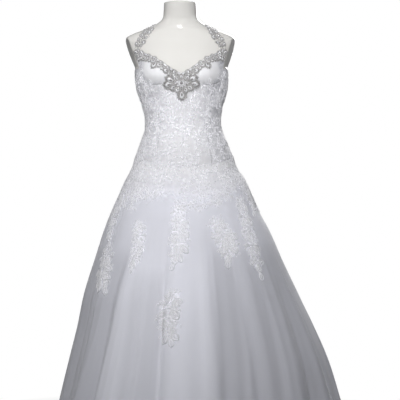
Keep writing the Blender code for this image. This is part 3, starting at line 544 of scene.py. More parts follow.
# ---------------------------------------------------------------- finishes
def finish(name, colour, roughness, **sockets):
    """New material with a Principled shader; its uniform values sit on the shader's own sockets."""
    made = bpy.data.materials.new(name)
    made.use_nodes = True
    shader = made.node_tree.nodes["Principled BSDF"]
    shader.inputs["Base Color"].default_value = (*colour, 1.0)
    shader.inputs["Roughness"].default_value = roughness
    for socket, value in sockets.items():
        shader.inputs[socket.replace("_", " ").title()].default_value = value
    return made


def node(made, kind, *links, **values):
    """Node in the tree of a material or of the world, linked by (output, socket) pairs.

    Values with a capital first letter are inputs, the rest settings.
    """
    tree = made.node_tree
    added = tree.nodes.new("ShaderNode" + kind)
    for key, value in values.items():
        if key[0].isupper():
            added.inputs[key.replace("_", " ")].default_value = value
        else:
            setattr(added, key, value)
    for source, socket in links:
        tree.links.new(source, added.inputs[socket])
    return added


def to_shader(made, output, socket):
    """Links an output to a socket of the shader, in place of one that was there."""
    made.node_tree.links.new(output, made.node_tree.nodes["Principled BSDF"].inputs[socket])


def place_of(made, source="Object", scale=(1, 1, 1)):
    """Object or flat cut coordinates, scaled by a Mapping node."""
    if source == "cut":
        found = node(made, "UVMap", uv_map="cut").outputs["UV"]
    else:
        found = node(made, "TexCoord").outputs[source]
    return node(made, "Mapping", (found, "Vector"), Scale=scale).outputs["Vector"]


def noise(made, scale, detail=2.0, distortion=0.0, place=None):
    """Soft clouds or a fine grain, over the object's coordinates unless a place is given."""
    place = place_of(made) if place is None else place
    return node(made, "TexNoise", (place, "Vector"), Scale=scale, Detail=detail,
                Distortion=distortion).outputs["Fac"]


def cells(made, scale, source="Object", **values):
    """Distance in a pattern of cells: to their edges where that is asked for, else to their middles."""
    return node(made, "TexVoronoi", (place_of(made, source), "Vector"), Scale=scale,
                **values).outputs["Distance"]


def ribs(made, detail):
    """Fine ribs along the cut's weft."""
    return node(made, "TexWave", (place_of(made, "cut"), "Vector"), Scale=240.0, Distortion=0.6,
                Detail=detail, bands_direction="Y").outputs["Fac"]


def mark_of(made):
    """Value that the mesh carries at each point: the lace's marks, with painted shade towards the bodice's
    sides, or the tulle's painted shade.
    """
    return node(made, "Attribute", attribute_name="lace_and_painted_shade").outputs["Fac"]


def ranged(made, factor, low, high, start=0.0, end=1.0):
    """A value moved from one range to another."""
    return node(made, "MapRange", (factor, "Value"), From_Min=start, From_Max=end, To_Min=low,
                To_Max=high).outputs["Result"]


def times(made, first, second):
    """Product of two values."""
    return node(made, "Math", (first, 0), (second, 1), operation="MULTIPLY").outputs["Value"]


def tinted(made, factor, first, second):
    """Colour of the shader between two by a factor; the first may be the output of another mix."""
    mix = node(made, "Mix", (factor, "Factor"), data_type="RGBA")
    if isinstance(first, tuple):
        mix.inputs["A"].default_value = (*first, 1.0)
    else:
        made.node_tree.links.new(first, mix.inputs["A"])
    mix.inputs["B"].default_value = (*second, 1.0)
    to_shader(made, mix.outputs["Result"], "Base Color")
    return mix.outputs["Result"]


def rough(made, factor, low, high):
    """Roughness of the shader between two values by a factor."""
    to_shader(made, ranged(made, factor, low, high), "Roughness")


def bumped(made, height, strength, distance, under=None):
    """Bump of the shader from a height, on top of another one if given."""
    links = [(height, "Height")] + ([(under, "Normal")] if under is not None else [])
    bump = node(made, "Bump", *links, Strength=strength, Distance=distance).outputs["Normal"]
    to_shader(made, bump, "Normal")
    return bump


EDGE = {"feature": "DISTANCE_TO_EDGE"}  # setting of cells that measures to their edges


def satin_finish():
    """Bridal satin: long soft streaks in its sheen, and a fine rib along the weft."""
    made = finish("white_satin", (0.86, 0.86, 0.91), 0.42, sheen_weight=0.25, sheen_roughness=0.4)
    streaks = noise(made, 1.0, 3.0, place=place_of(made, "cut", (260, 14, 1)))
    tinted(made, noise(made, 9.0), (0.86, 0.862, 0.915), (0.90, 0.902, 0.95))
    rough(made, streaks, 0.36, 0.50)
    low = bumped(made, streaks, 0.10, 0.0006)
    bumped(made, ribs(made, 1.0), 0.06, 0.0002, low)
    return made


def bodice_finish():
    """Satin under a lace ground: its net and dark curls show where the panel is marked for lace, and grow
    darker towards the sides as painted shade.
    """
    made = finish("laced_satin", (0.95, 0.95, 0.98), 0.44, sheen_weight=0.1, sheen_roughness=0.4,
                  coat_weight=0.25, coat_roughness=0.30)
    mark = mark_of(made)
    worked = times(made, ranged(made, cells(made, 230.0, **EDGE), 1.0, 0.0, 0.02, 0.16), mark)
    curls = ranged(made, noise(made, 75.0, 3.0, 1.6), 0.0, 1.0, 0.38, 0.62)
    ground = times(made, ranged(made, curls, 0.30, 1.0), mark)
    # Painted shade: the dark ground colour is laid on more strongly towards the bodice's sides.
    shade = tinted(made, ground, (0.93, 0.93, 0.955), (0.40, 0.40, 0.46))
    tinted(made, worked, shade, (0.90, 0.90, 0.93))
    rough(made, ground, 0.38, 0.62)
    low = bumped(made, worked, 0.45, 0.0007)
    high = bumped(made, ground, 0.35, 0.0008, low)
    bumped(made, ribs(made, 2.0), 0.05, 0.0002, high)
    return made


def tulle_finish():
    """Fine net, a little see-through: mesh in the bump, soft clouds in its tone, and painted shade where it
    is marked.
    """
    made = finish("fine_tulle", (0.80, 0.805, 0.86), 0.55, alpha=0.70, sheen_weight=0.35,
                  sheen_roughness=0.5)
    cloud = noise(made, 7.0, 3.0)
    unshaded_tone = tinted(made, cloud, (0.800, 0.805, 0.855), (0.845, 0.850, 0.900))
    # Painted shade: the tulle's tone darkens towards this grey where its mark is high.
    tinted(made, mark_of(made), unshaded_tone, (0.60, 0.605, 0.65))
    rough(made, cloud, 0.50, 0.60)
    bumped(made, cells(made, 520.0, "cut", Randomness=0.15, voronoi_dimensions="2D", **EDGE), 0.12, 0.0004)
    return made


def lace_finish():
    """White corded thread: a fine grain of twisted yarn and small changes of tone."""
    made = finish("corded_lace", (0.92, 0.92, 0.955), 0.5, sheen_weight=0.3, sheen_roughness=0.4)
    threads = noise(made, 900.0)
    tinted(made, noise(made, 60.0), (0.79, 0.79, 0.82), (0.86, 0.86, 0.885))
    rough(made, threads, 0.42, 0.62)
    bumped(made, threads, 0.35, 0.0004)
    return made


def filling_finish():
    """Woven filling of a petal or leaf: thin, so that half of what lies under it shows."""
    made = finish("lace_filling", (0.92, 0.92, 0.95), 0.6, alpha=0.50, sheen_weight=0.2)
    weave = noise(made, 420.0)
    tinted(made, weave, (0.75, 0.75, 0.79), (0.86, 0.86, 0.89))
    rough(made, weave, 0.50, 0.70)
    bumped(made, weave, 0.4, 0.0005)
    return made


def net_finish():
    """Bare net that carries the sprigs: mostly open, so its alpha is low."""
    made = finish("sprig_net", (0.92, 0.92, 0.96), 0.6, alpha=0.22)
    mesh = cells(made, 420.0, **EDGE)
    tinted(made, mesh, (0.95, 0.95, 0.98), (0.86, 0.86, 0.91))
    bumped(made, mesh, 0.3, 0.0004)
    return made


def hip_finish():
    """Net of the lace at the hips: close and palest at the seam, thinner towards its lower edge."""
    made = finish("hip_net", (0.86, 0.86, 0.89), 0.55, alpha=0.75, sheen_weight=0.3, sheen_roughness=0.4)
    curls = noise(made, 80.0, 3.0, 1.6)
    worked = tinted(made, ranged(made, curls, 0.0, 1.0, 0.35, 0.65), (0.84, 0.84, 0.87), (0.71, 0.71, 0.75))
    mark = mark_of(made)
    tinted(made, ranged(made, mark, 0.0, 0.80, 0.80, 1.0), worked, (0.96, 0.96, 0.98))
    to_shader(made, ranged(made, mark, 0.04, 0.94, 0.0, 0.80), "Alpha")
    low = bumped(made, curls, 0.4, 0.0008)
    bumped(made, cells(made, 260.0, **EDGE), 0.3, 0.0004, low)
    return made


def sequin_finish():
    """Clear white sequins: glossy, with a faint change of tone from one to the next."""
    made = finish("clear_sequin", (0.86, 0.86, 0.88), 0.22, coat_weight=0.4, coat_roughness=0.12)
    tone = noise(made, 180.0)
    tinted(made, tone, (0.80, 0.80, 0.84), (0.92, 0.92, 0.93))
    rough(made, tone, 0.16, 0.30)
    return made


def silver_finish(name, dark, light, roughness, metal):
    """Silver thread or bead: part metal, with bright and dull grains."""
    made = finish(name, light, 0.25, metallic=metal)
    grain = noise(made, 420.0)
    tinted(made, ranged(made, grain, 0.0, 1.0, 0.36, 0.64), dark, light)
    rough(made, grain, roughness - 0.08, roughness + 0.14)
    bumped(made, grain, 0.4, 0.0004)
    return made


def stone_finish():
    """Foil-backed cut stones: mirror-bright facets, each a little different."""
    made = finish("cut_stone", (0.90, 0.89, 0.89), 0.10, metallic=0.65)
    tone = cells(made, 260.0)
    tinted(made, tone, (0.95, 0.94, 0.94), (0.56, 0.54, 0.54))
    rough(made, tone, 0.06, 0.20)
    return made


def form_finish():
    """Sprayed ivory gloss with a faint orange peel."""
    made = finish("ivory_gloss", (0.86, 0.845, 0.81), 0.5, coat_weight=1.0, coat_roughness=0.075)
    cloud = noise(made, 5.0)
    tinted(made, cloud, (0.775, 0.761, 0.729), (0.803, 0.789, 0.761))
    rough(made, cloud, 0.46, 0.56)
    bumped(made, noise(made, 190.0, 1.0), 0.04, 0.0003)
    return made


def steel_finish():
    """Brushed steel: grain stretched round the pole's axis."""
    made = finish("brushed_steel", (0.60, 0.60, 0.61), 0.32, metallic=1.0)
    grain = noise(made, 1.0, 3.0, place=place_of(made, "Object", (8, 8, 900)))
    tinted(made, grain, (0.52, 0.52, 0.53), (0.68, 0.68, 0.69))
    rough(made, grain, 0.24, 0.42)
    bumped(made, grain, 0.15, 0.0004)
    return made


SATIN = satin_finish()
LACED = bodice_finish()
TULLE = tulle_finish()
LACE = lace_finish()
FILLING = filling_finish()
NET = net_finish()
HIP_NET = hip_finish()
SEQUIN = sequin_finish()
THREAD = silver_finish("silver_thread", dark=(0.27, 0.26, 0.26), light=(0.59, 0.58, 0.58),
                       roughness=0.40, metal=0.25)
BEAD = silver_finish("silver_bead", dark=(0.40, 0.39, 0.39), light=(0.98, 0.97, 0.97),
                     roughness=0.20, metal=0.25)
STONE = stone_finish()
IVORY = form_finish()
STEEL = steel_finish()


# ---------------------------------------------------------------- dress form
ARM_LEAVE = 6.0          # how fast the flat cut leaves the body below the arm face
COARSE_ROWS = 70         # rows of the form's grid up to the first height
COARSE_END_Z = 1.240
FINE_ROWS = 96           # and closer ones from the second, where the form turns more
FINE_Z = 1.244
FORM_COLUMNS = 220
NECK_ROUND = 0.003       # rounding of the neck's top edge
NECK_HALF = 0.0525       # mean half width there


def form_skin():
    """Torso and neck: the form's surface, cut softly flat at the arms, with rings that close both ends.

    The soft cut is a smooth minimum of the half width and the arm face's distance.
    """
    angle = np.linspace(-180, 180, FORM_COLUMNS, endpoint=False)[None, :]
    levels = np.concatenate([np.linspace(FORM[0][0], COARSE_END_Z, COARSE_ROWS),
                             np.linspace(FINE_Z, FORM[-1][0], FINE_ROWS)])[:, None]
    grid = form_surface(angle + 0.0 * levels, levels + 0.0 * angle, FORM_BUST_RISE)
    wide = np.abs(grid[..., 0])
    face = arm_cut(grid[..., 1], grid[..., 2]) + ARM_LEAVE * np.maximum(ARM_LOW_Z - grid[..., 2], 0.0)
    cut = wide - ARM_ROUND * np.logaddexp(0.0, (wide - face) / ARM_ROUND)
    grid[..., 0] = np.sign(grid[..., 0]) * cut
    top = []
    for turn in (pi / 6, pi / 3, pi / 2):
        smaller = 1 - NECK_ROUND / NECK_HALF * (1 - np.cos(turn))
        top.append(grid[-1] * (1, 1, 0) * smaller + (0, 0, FORM[-1][0] + NECK_ROUND * np.sin(turn)))
    top += [top[-1] * (share, share, 1) for share in (0.6, 0.25, 0.04)]
    low = [grid[0] * (share, share, 1) for share in (0.04, 0.4, 0.8, 0.98)]
    rings = np.concatenate([np.stack(low), grid, np.stack(top)])
    count = rings.shape[1]
    faces = quads(rings.shape[0], count, wrap=True).tolist()
    last = (rings.shape[0] - 1) * count
    faces += [list(range(count))[::-1], list(range(last, last + count))]
    return rings.reshape(-1, 3), faces


FORM_POINTS, FORM_FACES = form_skin()
piece("form_skin", [(FORM_POINTS, FORM_FACES, IVORY)], "form", ("form_body",))
for stand_node in ("form_base", "form_collar", "form_flange", "form_pole"):
    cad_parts[stand_node].data.materials.clear()
    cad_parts[stand_node].data.materials.append(STEEL)


# ---------------------------------------------------------------- bodice
def seam_angle(column, z):
    """Angle of an upright seam at a height; column 0 is the centre front, 5 the centre back."""
    if column in (0, 5):
        return 36.0 * column + 0.0 * z
    return along(SEAMS, column, z)


# Bare middle of each cup: its angle and height, its half span in degrees and half height
CUP_ANGLE = 35.0
CUP_Z = 1.238
CUP_SPAN = 18.5
CUP_TALL = 0.040
COLUMN_DEGREES = 1.9     # width of a panel's columns, counted at this height
SPAN_Z = 1.1
LOWER_ROWS = 65          # rows of a panel below the under-bust line and above it
UPPER_ROWS = 25
SEAM_ROLL = 0.0007       # how far a panel rolls in at its upright seams, and over what width
SEAM_ROLL_RUN = 0.0022
# Towards the sides the lace ground grows stronger and darker as painted shade, from the angle below over
# its run.
MIDDLE_GROUND = 0.20     # strength of the lace ground at the centre front, and from where it grows
SIDE_SHADE_ANGLE = 18
SIDE_SHADE_RUN = 30
LOW_GROUND = 0.55        # its share at the hips, and from where it grows upwards
GROUND_Z = 0.98
GROUND_RISE = 0.10


def bare_cup(angle, z):
    """1 in the smooth middle of each cup, falling to 0 over its edge: an ellipse about its middle."""
    reach = ((np.abs(angle) - CUP_ANGLE) / CUP_SPAN) ** 2 + ((z - CUP_Z) / CUP_TALL) ** 2
    return 1 - ease((np.sqrt(reach) - 0.8) / 0.35)


def lace_and_painted_shade(angle, z):
    """Strength of the lace ground: none on the cups, faint at the centre front, weaker at the hips; its
    growth towards the sides is painted shade.
    """
    # Painted shade: the ground strengthens towards the sides.
    aside = ease((np.abs(angle) - SIDE_SHADE_ANGLE) / SIDE_SHADE_RUN)
    round_it = MIDDLE_GROUND + (1 - MIDDLE_GROUND) * aside
    return (1 - bare_cup(angle, z)) * round_it * (
        LOW_GROUND + (1 - LOW_GROUND) * ease((z - GROUND_Z) / GROUND_RISE))


def bodice_grid(first, last, bands, mirrored=False, across=False):
    """Angles and heights between two upright seams, over the lower or the upper band of rows, or both."""
    level = np.array([SPAN_Z])
    span = float(np.mean(seam_angle(last, level) - seam_angle(first, level)))
    columns = int(round(span * (2 if across else 1) / COLUMN_DEGREES))
    u = np.linspace(-1 if across else 0, 1, columns + 1)[None, :]
    rows = []
    if "lower" in bands:
        rows += list(np.linspace(0, 1, LOWER_ROWS))
    if "upper" in bands:
        rows += list(np.linspace(1, 2, UPPER_ROWS))[1 if rows else 0:]
    v = np.array(rows)[:, None]
    angle = (0.0 if across else seam_angle(first, 1.0 + 0 * v) + 1) + 0.0 * u * v
    for _ in range(6):
        low, bust, top = seam_height(angle), along(UNDER_BUST, 1, np.abs(angle)), top_edge(angle)
        z = np.where(v <= 1, low * (1 - v) + bust * v, bust * (2 - v) + top * (v - 1))
        right = seam_angle(last, z)
        angle = u * right if across else seam_angle(first, z) * (1 - u) + right * u
    if mirrored:
        angle, z = -angle[:, ::-1], z[:, ::-1]
    return angle, z


def bodice_panel(node_name, first, last, bands, mirrored=False, across=False):
    """Panel of the bodice; it rolls in a little along each upright seam."""
    angle, z = bodice_grid(first, last, bands, mirrored, across)
    skin = bodice_point(angle, z)
    out = form_normals(angle, z)
    run = lengths(skin, 1)
    from_left, from_right = run - run[:, :1], run[:, -1:] - run
    bells = np.exp(-(from_left / SEAM_ROLL_RUN) ** 2) + np.exp(-(from_right / SEAM_ROLL_RUN) ** 2)
    skin = skin - (SEAM_ROLL * bells)[..., None] * out
    return cloth(node_name, skin, out, BODICE_WALL, LACED, "satin",
                 lace_and_painted_shade(angle, z))


bodice_panel("bodice_centre_front", 0, 1, ("lower",), across=True)
for side, mirror in (("right", False), ("left", True)):
    bodice_panel("cup_" + side, 0, 2, ("upper",), mirror)
    bodice_panel("bodice_side_front_" + side, 1, 2, ("lower",), mirror)
    bodice_panel("bodice_side_" + side, 2, 3, ("lower", "upper"), mirror)
    bodice_panel("bodice_side_back_" + side, 3, 4, ("lower", "upper"), mirror)
    bodice_panel("bodice_back_" + side, 4, 5, ("lower", "upper"), mirror)


PLACKET_HALF = 0.007
PLACKET_WALL = 0.0011
PLACKET_LIFT = 0.0008    # of its edges over the bodice
PLACKET_CROWN = 0.0012   # and of its middle over its edges
PLACKET_SHORT = 0.003    # how far its ends stop before the seam and the top edge


def back_placket():
    """Narrow strip over the closed zip, down the centre back, rounded up across its width."""
    share = np.linspace(0, 1, 90)[:, None]
    across = np.linspace(-1, 1, 9)[None, :]
    low, high = float(seam_height(180)) + PLACKET_SHORT, float(top_edge(180)) - PLACKET_SHORT
    z = low + (high - low) * share + 0.0 * across
    angle = 180.0 + np.degrees(PLACKET_HALF * across / along(FORM, 1, z))
    skin = bodice_point(angle, z, PLACKET_LIFT + PLACKET_CROWN * (1 - across ** 4) + 0.0 * z)
    cloth("back_placket", skin, form_normals(angle, z), PLACKET_WALL, SATIN, "satin")


back_placket()


# ---------------------------------------------------------------- skirt
# Panels of satin and of tulle: name, first and last column, counted in folds
GORES = (
    ("skirt_back_left", -0.5, 2.5),
    ("skirt_side_back_left", 2.5, 4.5),
    ("skirt_side_left", 4.5, 6.5),
    ("skirt_front_left", 6.5, 8.5),
    ("skirt_centre_front", 8.5, 10.5),
    ("skirt_front_right", 10.5, 12.5),
    ("skirt_side_right", 12.5, 14.5),
    ("skirt_side_back_right", 14.5, 16.5),
    ("skirt_back_right", 16.5, 18.5),
)
OVERLAYS = (
    ("overlay_back_left", -0.5, 3.5),
    ("overlay_side_left", 3.5, 6.5),
    ("overlay_front", 6.5, 12.5),
    ("overlay_side_right", 12.5, 15.5),
    ("overlay_back_right", 15.5, 18.5),
)
ROWS_CLOSER = 1.35       # power that draws a panel's rows towards its top
SATIN_GRID = (9, 50)     # columns for each fold, and rows
TULLE_GRID = (20, 96)


def skirt_panel(node_name, first, last, layer):
    """Gore of satin or panel of tulle between two columns counted in folds; rows lie closer at the top."""
    fine, rows = TULLE_GRID if layer == "tulle" else SATIN_GRID
    share = (np.linspace(1, 0, rows) ** ROWS_CLOSER)[:, None]
    column = np.linspace(first, last, int(round((last - first) * fine)) + 1)[None, :] + 0.0 * share
    share = share + 0.0 * column
    outer = skirt_surface(column, share, layer)
    out = skirt_normals(column, share, layer)
    if layer == "tulle":
        # The tulle's mark is its painted shade.
        cloth(node_name, outer, out, TULLE_WALL, TULLE, "tulle",
              painted_shade_share(column_angle(column, share), outer[..., 2]))
    else:
        cloth(node_name, outer, out, SATIN_WALL, SATIN, "satin")


for gore, first, last in GORES:
    skirt_panel(gore, first, last, "satin")
for overlay, first, last in OVERLAYS:
    skirt_panel(overlay, first, last, "tulle")


# ---------------------------------------------------------------- shapes that are repeated on a surface
LEAF_BASE = 1.25         # power that moves a leaf's widest place towards its tip
LEAF_FULL = 0.8          # power that fills out its ends


def leaf_half(share):
    """Half width of a leaf of half width one: a sine of the share along it."""
    return np.sin(pi * share ** LEAF_BASE) ** LEAF_FULL


def leaf_shape(length, half, crown, rib=0.0, rows=5, columns=4):
    """Leaf or petal from its base: half width as a sine of the share along, crowned across."""
    s = np.linspace(0.03, 0.97, rows + 1)[:, None]
    t = np.linspace(-1, 1, columns + 1)[None, :]
    u = length * s + 0.0 * t
    v = -half * t * leaf_half(s)
    h = crown * (1 - t ** 2) * np.sin(pi * s) ** 0.5 - rib * np.exp(-(t / 0.3) ** 2)
    return np.stack([u, v, h + 0.0 * u], -1).reshape(-1, 3), quads(rows + 1, columns + 1)[:, ::-1]


def cord_shape(line, half, height, closed=False):
    """Raised cord along a flat line: three rows of points, the middle one lifted."""
    line = np.array(line, float)
    ahead = (np.roll(line, -1, 0) - np.roll(line, 1, 0)) if closed else np.gradient(line, axis=0)
    ahead = unit(ahead)
    aside = np.stack([-ahead[:, 1], ahead[:, 0]], -1) * half
    count = len(line)
    rows = [np.column_stack([line - aside, np.zeros(count)]),
            np.column_stack([line, np.full(count, height)]),
            np.column_stack([line + aside, np.zeros(count)])]
    return np.concatenate(rows), quads(3, count, wrap=closed)


def leaf_outline(length, half, steps=14):
    """Closed outline of a leaf, both sides in turn."""
    s = np.concatenate([np.linspace(0.02, 0.97, steps // 2), np.linspace(0.97, 0.02, steps // 2 + 2)[1:-1]])
    way = np.concatenate([np.full(steps // 2, -1.0), np.full(steps // 2, 1.0)])
    return np.stack([length * s, way * half * leaf_half(s) + way * 0.02 * half], -1)


def joined(*shapes):
    """Several shapes as one."""
    points, faces, start = [], [], 0
    for some, some_faces in shapes:
        points.append(some)
        faces.append(some_faces + start)
        start += len(some)
    return np.concatenate(points), np.concatenate(faces)


def moved(shape, turn=0.0, du=0.0, dv=0.0, size=1.0):
    """A shape sized, turned by degrees and moved in its plane."""
    points, faces = shape
    c, s = np.cos(radians(turn)) * size, np.sin(radians(turn)) * size
    u = points[:, 0] * c - points[:, 1] * s + du
    v = points[:, 0] * s + points[:, 1] * c + dv
    return np.stack([u, v, points[:, 2] * size], -1), faces


def ring_shape(levels, sides=6):
    """Low turned shape from (radius, height) levels, with a flat cap of quads on top."""
    a = np.linspace(0, 2 * pi, sides, endpoint=False)
    rings = [np.stack([r * np.cos(a), r * np.sin(a), h + 0 * a], -1) for r, h in levels]
    last = (len(levels) - 1) * sides
    cap = [[last, last + 1, last + 2, last + 3]]
    if sides == 6:
        cap += [[last, last + 3, last + 4, last + 5]]
    else:
        cap += [[last, last + 3, last + 4, last + 7], [last + 4, last + 5, last + 6, last + 7]]
    return np.concatenate(rings), np.concatenate([quads(len(levels), sides, wrap=True), cap])


def petal_pair(half, crown, rib, cord, height, vein=0.0):
    """A petal or leaf one unit long: its woven filling, and the cord round it with a vein to its middle."""
    round_it = cord_shape(leaf_outline(1.0, half), cord, height, True)
    if vein:
        line = np.column_stack([np.linspace(0.05, vein, 5), np.zeros(5)])
        round_it = joined(round_it, cord_shape(line, 0.8 * cord, 1.1 * height))
    return leaf_shape(1.0, half, crown, rib), round_it


def spun(shape, turns, out, size):
    """Copies of a filled and corded shape round a centre."""
    places = [(a, out * np.cos(radians(a)), out * np.sin(radians(a))) for a in turns]
    return tuple(joined(*[moved(part, turn=a, du=du, dv=dv, size=size) for a, du, dv in places])
                 for part in shape)


def curl_shape():
    """Open spiral of cord: its radius falls evenly with the turn."""
    turn = np.linspace(0, 1.35 * 2 * pi, 16)
    reach = 0.5 * (1 - 0.62 * turn / turn[-1])
    line = np.stack([0.5 - reach * np.cos(turn), reach * np.sin(turn)], -1)
    return cord_shape(line[::-1], 0.06, 0.085)


PETAL = petal_pair(half=0.36, crown=0.08, rib=0.0, cord=0.055, height=0.090)
LEAF = petal_pair(half=0.24, crown=0.05, rib=0.015, cord=0.042, height=0.080, vein=0.75)
BUD = petal_pair(half=0.30, crown=0.08, rib=0.0, cord=0.075, height=0.110)
FLOWER = spun(PETAL, turns=[72 * k + 8 for k in range(5)], out=0.16, size=0.82)
CURL = (curl_shape(),)
DOME = ring_shape([(0.85, -0.2), (1.0, 0.45), (0.55, 1.0)])
DISC = ring_shape([(1.0, 0.0), (0.45, 0.28)])
GEM = ring_shape([(1.0, 0.0), (1.0, 0.30), (0.58, 0.62)], 8)
LONG_GEM = (GEM[0] * (1.0, 0.48, 0.6), GEM[1])


def on_surface(point, spots, flat, lift, steps):
    """Wraps flat patterns on a surface: metres to the right and up become its two parameters.

    The right is the first parameter's direction; up is square to it in the surface.
    """
    a, b = spots[:, 0], spots[:, 1]
    zero = 0.0 * a
    right = (point(a + steps[0], b, zero) - point(a - steps[0], b, zero)) / (2 * steps[0])
    rise = (point(a, b + steps[1], zero) - point(a, b - steps[1], zero)) / (2 * steps[1])
    x = unit(right)
    y = np.cross(unit(np.cross(right, rise)), x)
    q = flat[..., 1] / (rise * y).sum(-1)[:, None]
    p = (flat[..., 0] - q * (rise * x).sum(-1)[:, None]) / np.linalg.norm(right, axis=-1)[:, None]
    return point(a[:, None] + p, b[:, None] + q, lift)


def strewn(point, steps, shape, spots, turns, sizes, lift=0.0, offsets=None):
    """Copies of a shape at many spots, each with its turn in radians, its size and an offset in metres."""
    points, faces = shape
    spots, turns, sizes = np.atleast_2d(spots), np.asarray(turns, float), np.asarray(sizes, float)
    c, s = (np.cos(turns) * sizes)[:, None], (np.sin(turns) * sizes)[:, None]
    flat = np.stack([points[:, 0] * c - points[:, 1] * s, points[:, 0] * s + points[:, 1] * c], -1)
    if offsets is not None:
        flat = flat + np.asarray(offsets)[:, None, :]
    height = points[:, 2] * sizes[:, None] + np.broadcast_to(lift, sizes.shape)[:, None]
    placed = on_surface(point, spots, flat, height, steps)
    count = len(points)
    numbered = faces[None] + (np.arange(len(spots)) * count)[:, None, None]
    return placed.reshape(-1, 3), numbered.reshape(-1, 4)


class Skin:
    """A surface kept as a fine grid of points and normals, and read between them in straight lines."""

    def __init__(self, surface, low, high, rows, columns=720):
        """Grid between two heights, with a column each half degree."""
        self.low, self.high, self.rows, self.columns = low, high, rows, columns
        z = np.linspace(low, high, rows)[:, None]
        angle = np.arange(columns)[None, :] * 360 / columns - 180 + 0.0 * z
        z = z + 0.0 * angle
        at_skin = surface(angle, z, 0.0 * z)
        self.grid = np.concatenate([at_skin, (surface(angle, z, 0.001 + 0.0 * z) - at_skin) * 1000], -1)

    def __call__(self, angle, z, lift=0.0):
        """Points at angles and heights, a lift above the surface."""
        column = (angle + 180) % 360 * self.columns / 360
        row = np.clip((z - self.low) / (self.high - self.low), 0, 0.999999) * (self.rows - 1)
        i, j = row.astype(int), column.astype(int) % self.columns
        p, q = (row - i)[..., None], (column - column.astype(int))[..., None]
        ahead = (j + 1) % self.columns
        found = ((self.grid[i, j] * (1 - q) + self.grid[i, ahead] * q) * (1 - p)
                 + (self.grid[i + 1, j] * (1 - q) + self.grid[i + 1, ahead] * q) * p)
        return found[..., :3] + np.asarray(lift)[..., None] * found[..., 3:]


BODICE_SKIN = Skin(bodice_point, low=0.88, high=1.40, rows=261)
OVERLAY_SKIN = Skin(overlay_point, low=0.10, high=0.97, rows=240)
# Steps in degrees and metres over which a pattern finds its two directions on each skin
BODICE_STEPS = (0.5, 0.002)
OVERLAY_STEPS = (2.0, 0.012)
NET_LIFT = 0.0009        # how far the bodice's lace rises to lie over the net of the hips
NET_CLEAR = 0.022        # from this height over the seam down, within this run
NET_CLEAR_RUN = 0.012
NET_TOP = 0.007          # how far that net runs up past the seam
SEAM_BLEND = 0.004       # height over which the lace's bed passes from the bodice to the tulle


def lace_bed(angle, z, lift=0.0):
    """Skin that carries the lace: the bodice above the dropped-waist seam, and the tulle below it."""
    above = ease((z - seam_height(angle) + SEAM_BLEND / 2) / SEAM_BLEND)[..., None]
    return BODICE_SKIN(angle, z, lift) * above + OVERLAY_SKIN(angle, z, lift) * (1 - above)


class Lace:
    """Fillings, cords and sequins of one piece of lace on one surface, gathered and then made."""

    def __init__(self, point, steps, lift):
        """Starts empty, to lie a lift above a surface."""
        self.point, self.steps, self.lift = point, steps, lift
        self.fillings, self.cords, self.sequins = [], [], []

    def add(self, shape, spots, turns, sizes, offsets=None, raised=0.0):
        """Copies of a shape; its last part is its cord, and what comes before is filling."""
        spots = np.atleast_2d(spots)
        turns = np.broadcast_to(turns, len(spots))
        sizes = np.broadcast_to(sizes, len(spots))
        made = [strewn(self.point, self.steps, part, spots, turns, sizes, self.lift + raised, offsets)
                for part in shape]
        self.fillings += made[:-1]
        self.cords += made[-1:]

    def sew(self, shape, spots, sizes, offsets=None, raised=0.0010):
        """Sequins or beads at spots."""
        sizes = np.broadcast_to(sizes, len(spots))
        self.sequins.append(strewn(self.point, self.steps, shape, spots, 0 * sizes, sizes,
                                   self.lift + raised, offsets))

    def make(self, name):
        """One object with three materials."""
        return piece(name, [(*joined(*self.fillings), FILLING), (*joined(*self.cords), LACE),
                            (*joined(*self.sequins), SEQUIN)], "lace")


def beside(turn, far):
    """Offsets in metres at a distance in a direction."""
    return np.stack([far * np.cos(turn), far * np.sin(turn)], -1)


# ---------------------------------------------------------------- lace of the bodice and hips
SPRAY_REACH = 0.0175
BODICE_GAP = 0.040       # between the sprays of the bodice
HIP_GAP = 0.038          # and of the hips
ROW_SHARE = 0.80         # height of a row of sprays as a share of their gap
# Leaves round a spray's flower: direction from the flower's own turn, distance and length in reaches
SPRAY_LEAVES = ((0.5, 0.62, 1.05), (2.5, 0.60, 0.95), (4.4, 0.66, 1.15))
SPRAY_CURLS = (1.5, 3.5)
LACE_LOW_Z = 0.925       # heights between which the bodice's rows lie
LACE_TOP_Z = 1.31
EDGE_BARE = 0.022        # no spray nearer than this under the top edge
MOTIF_BARE = (28, 1.185)  # nor within this angle above this height, where the centre motif lies
PLACKET_BARE = 6.5       # nor within this angle of the centre back
CUP_BARE = 0.35          # nor where a cup is barer than this
SEAM_BARE = 0.004        # nor nearer than this over the seam
BODICE_LIFT = 0.0001
BODICE_SEQUINS = 4       # for each spray, strewn by this much in degrees and metres
BODICE_STREWN = (4.4, 0.011)
FRONT_ZONE = 58          # angles where one piece of lace ends and the next begins
BACK_ZONE = 125


def lace_spots(low, high, gap, seed):
    """Staggered rows of spots round the figure, at about one gap from each other, each a little off."""
    rng = np.random.default_rng(seed)
    spots = []
    for row, z in enumerate(np.arange(low, high, gap * ROW_SHARE)):
        round_it = 2 * pi * np.sqrt((float(along(FORM, 1, z)) ** 2 + 0.1 ** 2) / 2)
        count = int(round(round_it / gap))
        angle = (np.arange(count) + 0.5 * (row % 2)) * 360 / count - 180
        off = rng.normal(0, 3.0, count)
        spots.append(np.stack([angle + off, z + rng.normal(0, gap * 0.16, count)], -1))
    spots = np.concatenate(spots)
    return spots, rng.uniform(0, 2 * pi, len(spots)), rng.uniform(0.8, 1.2, len(spots)), rng


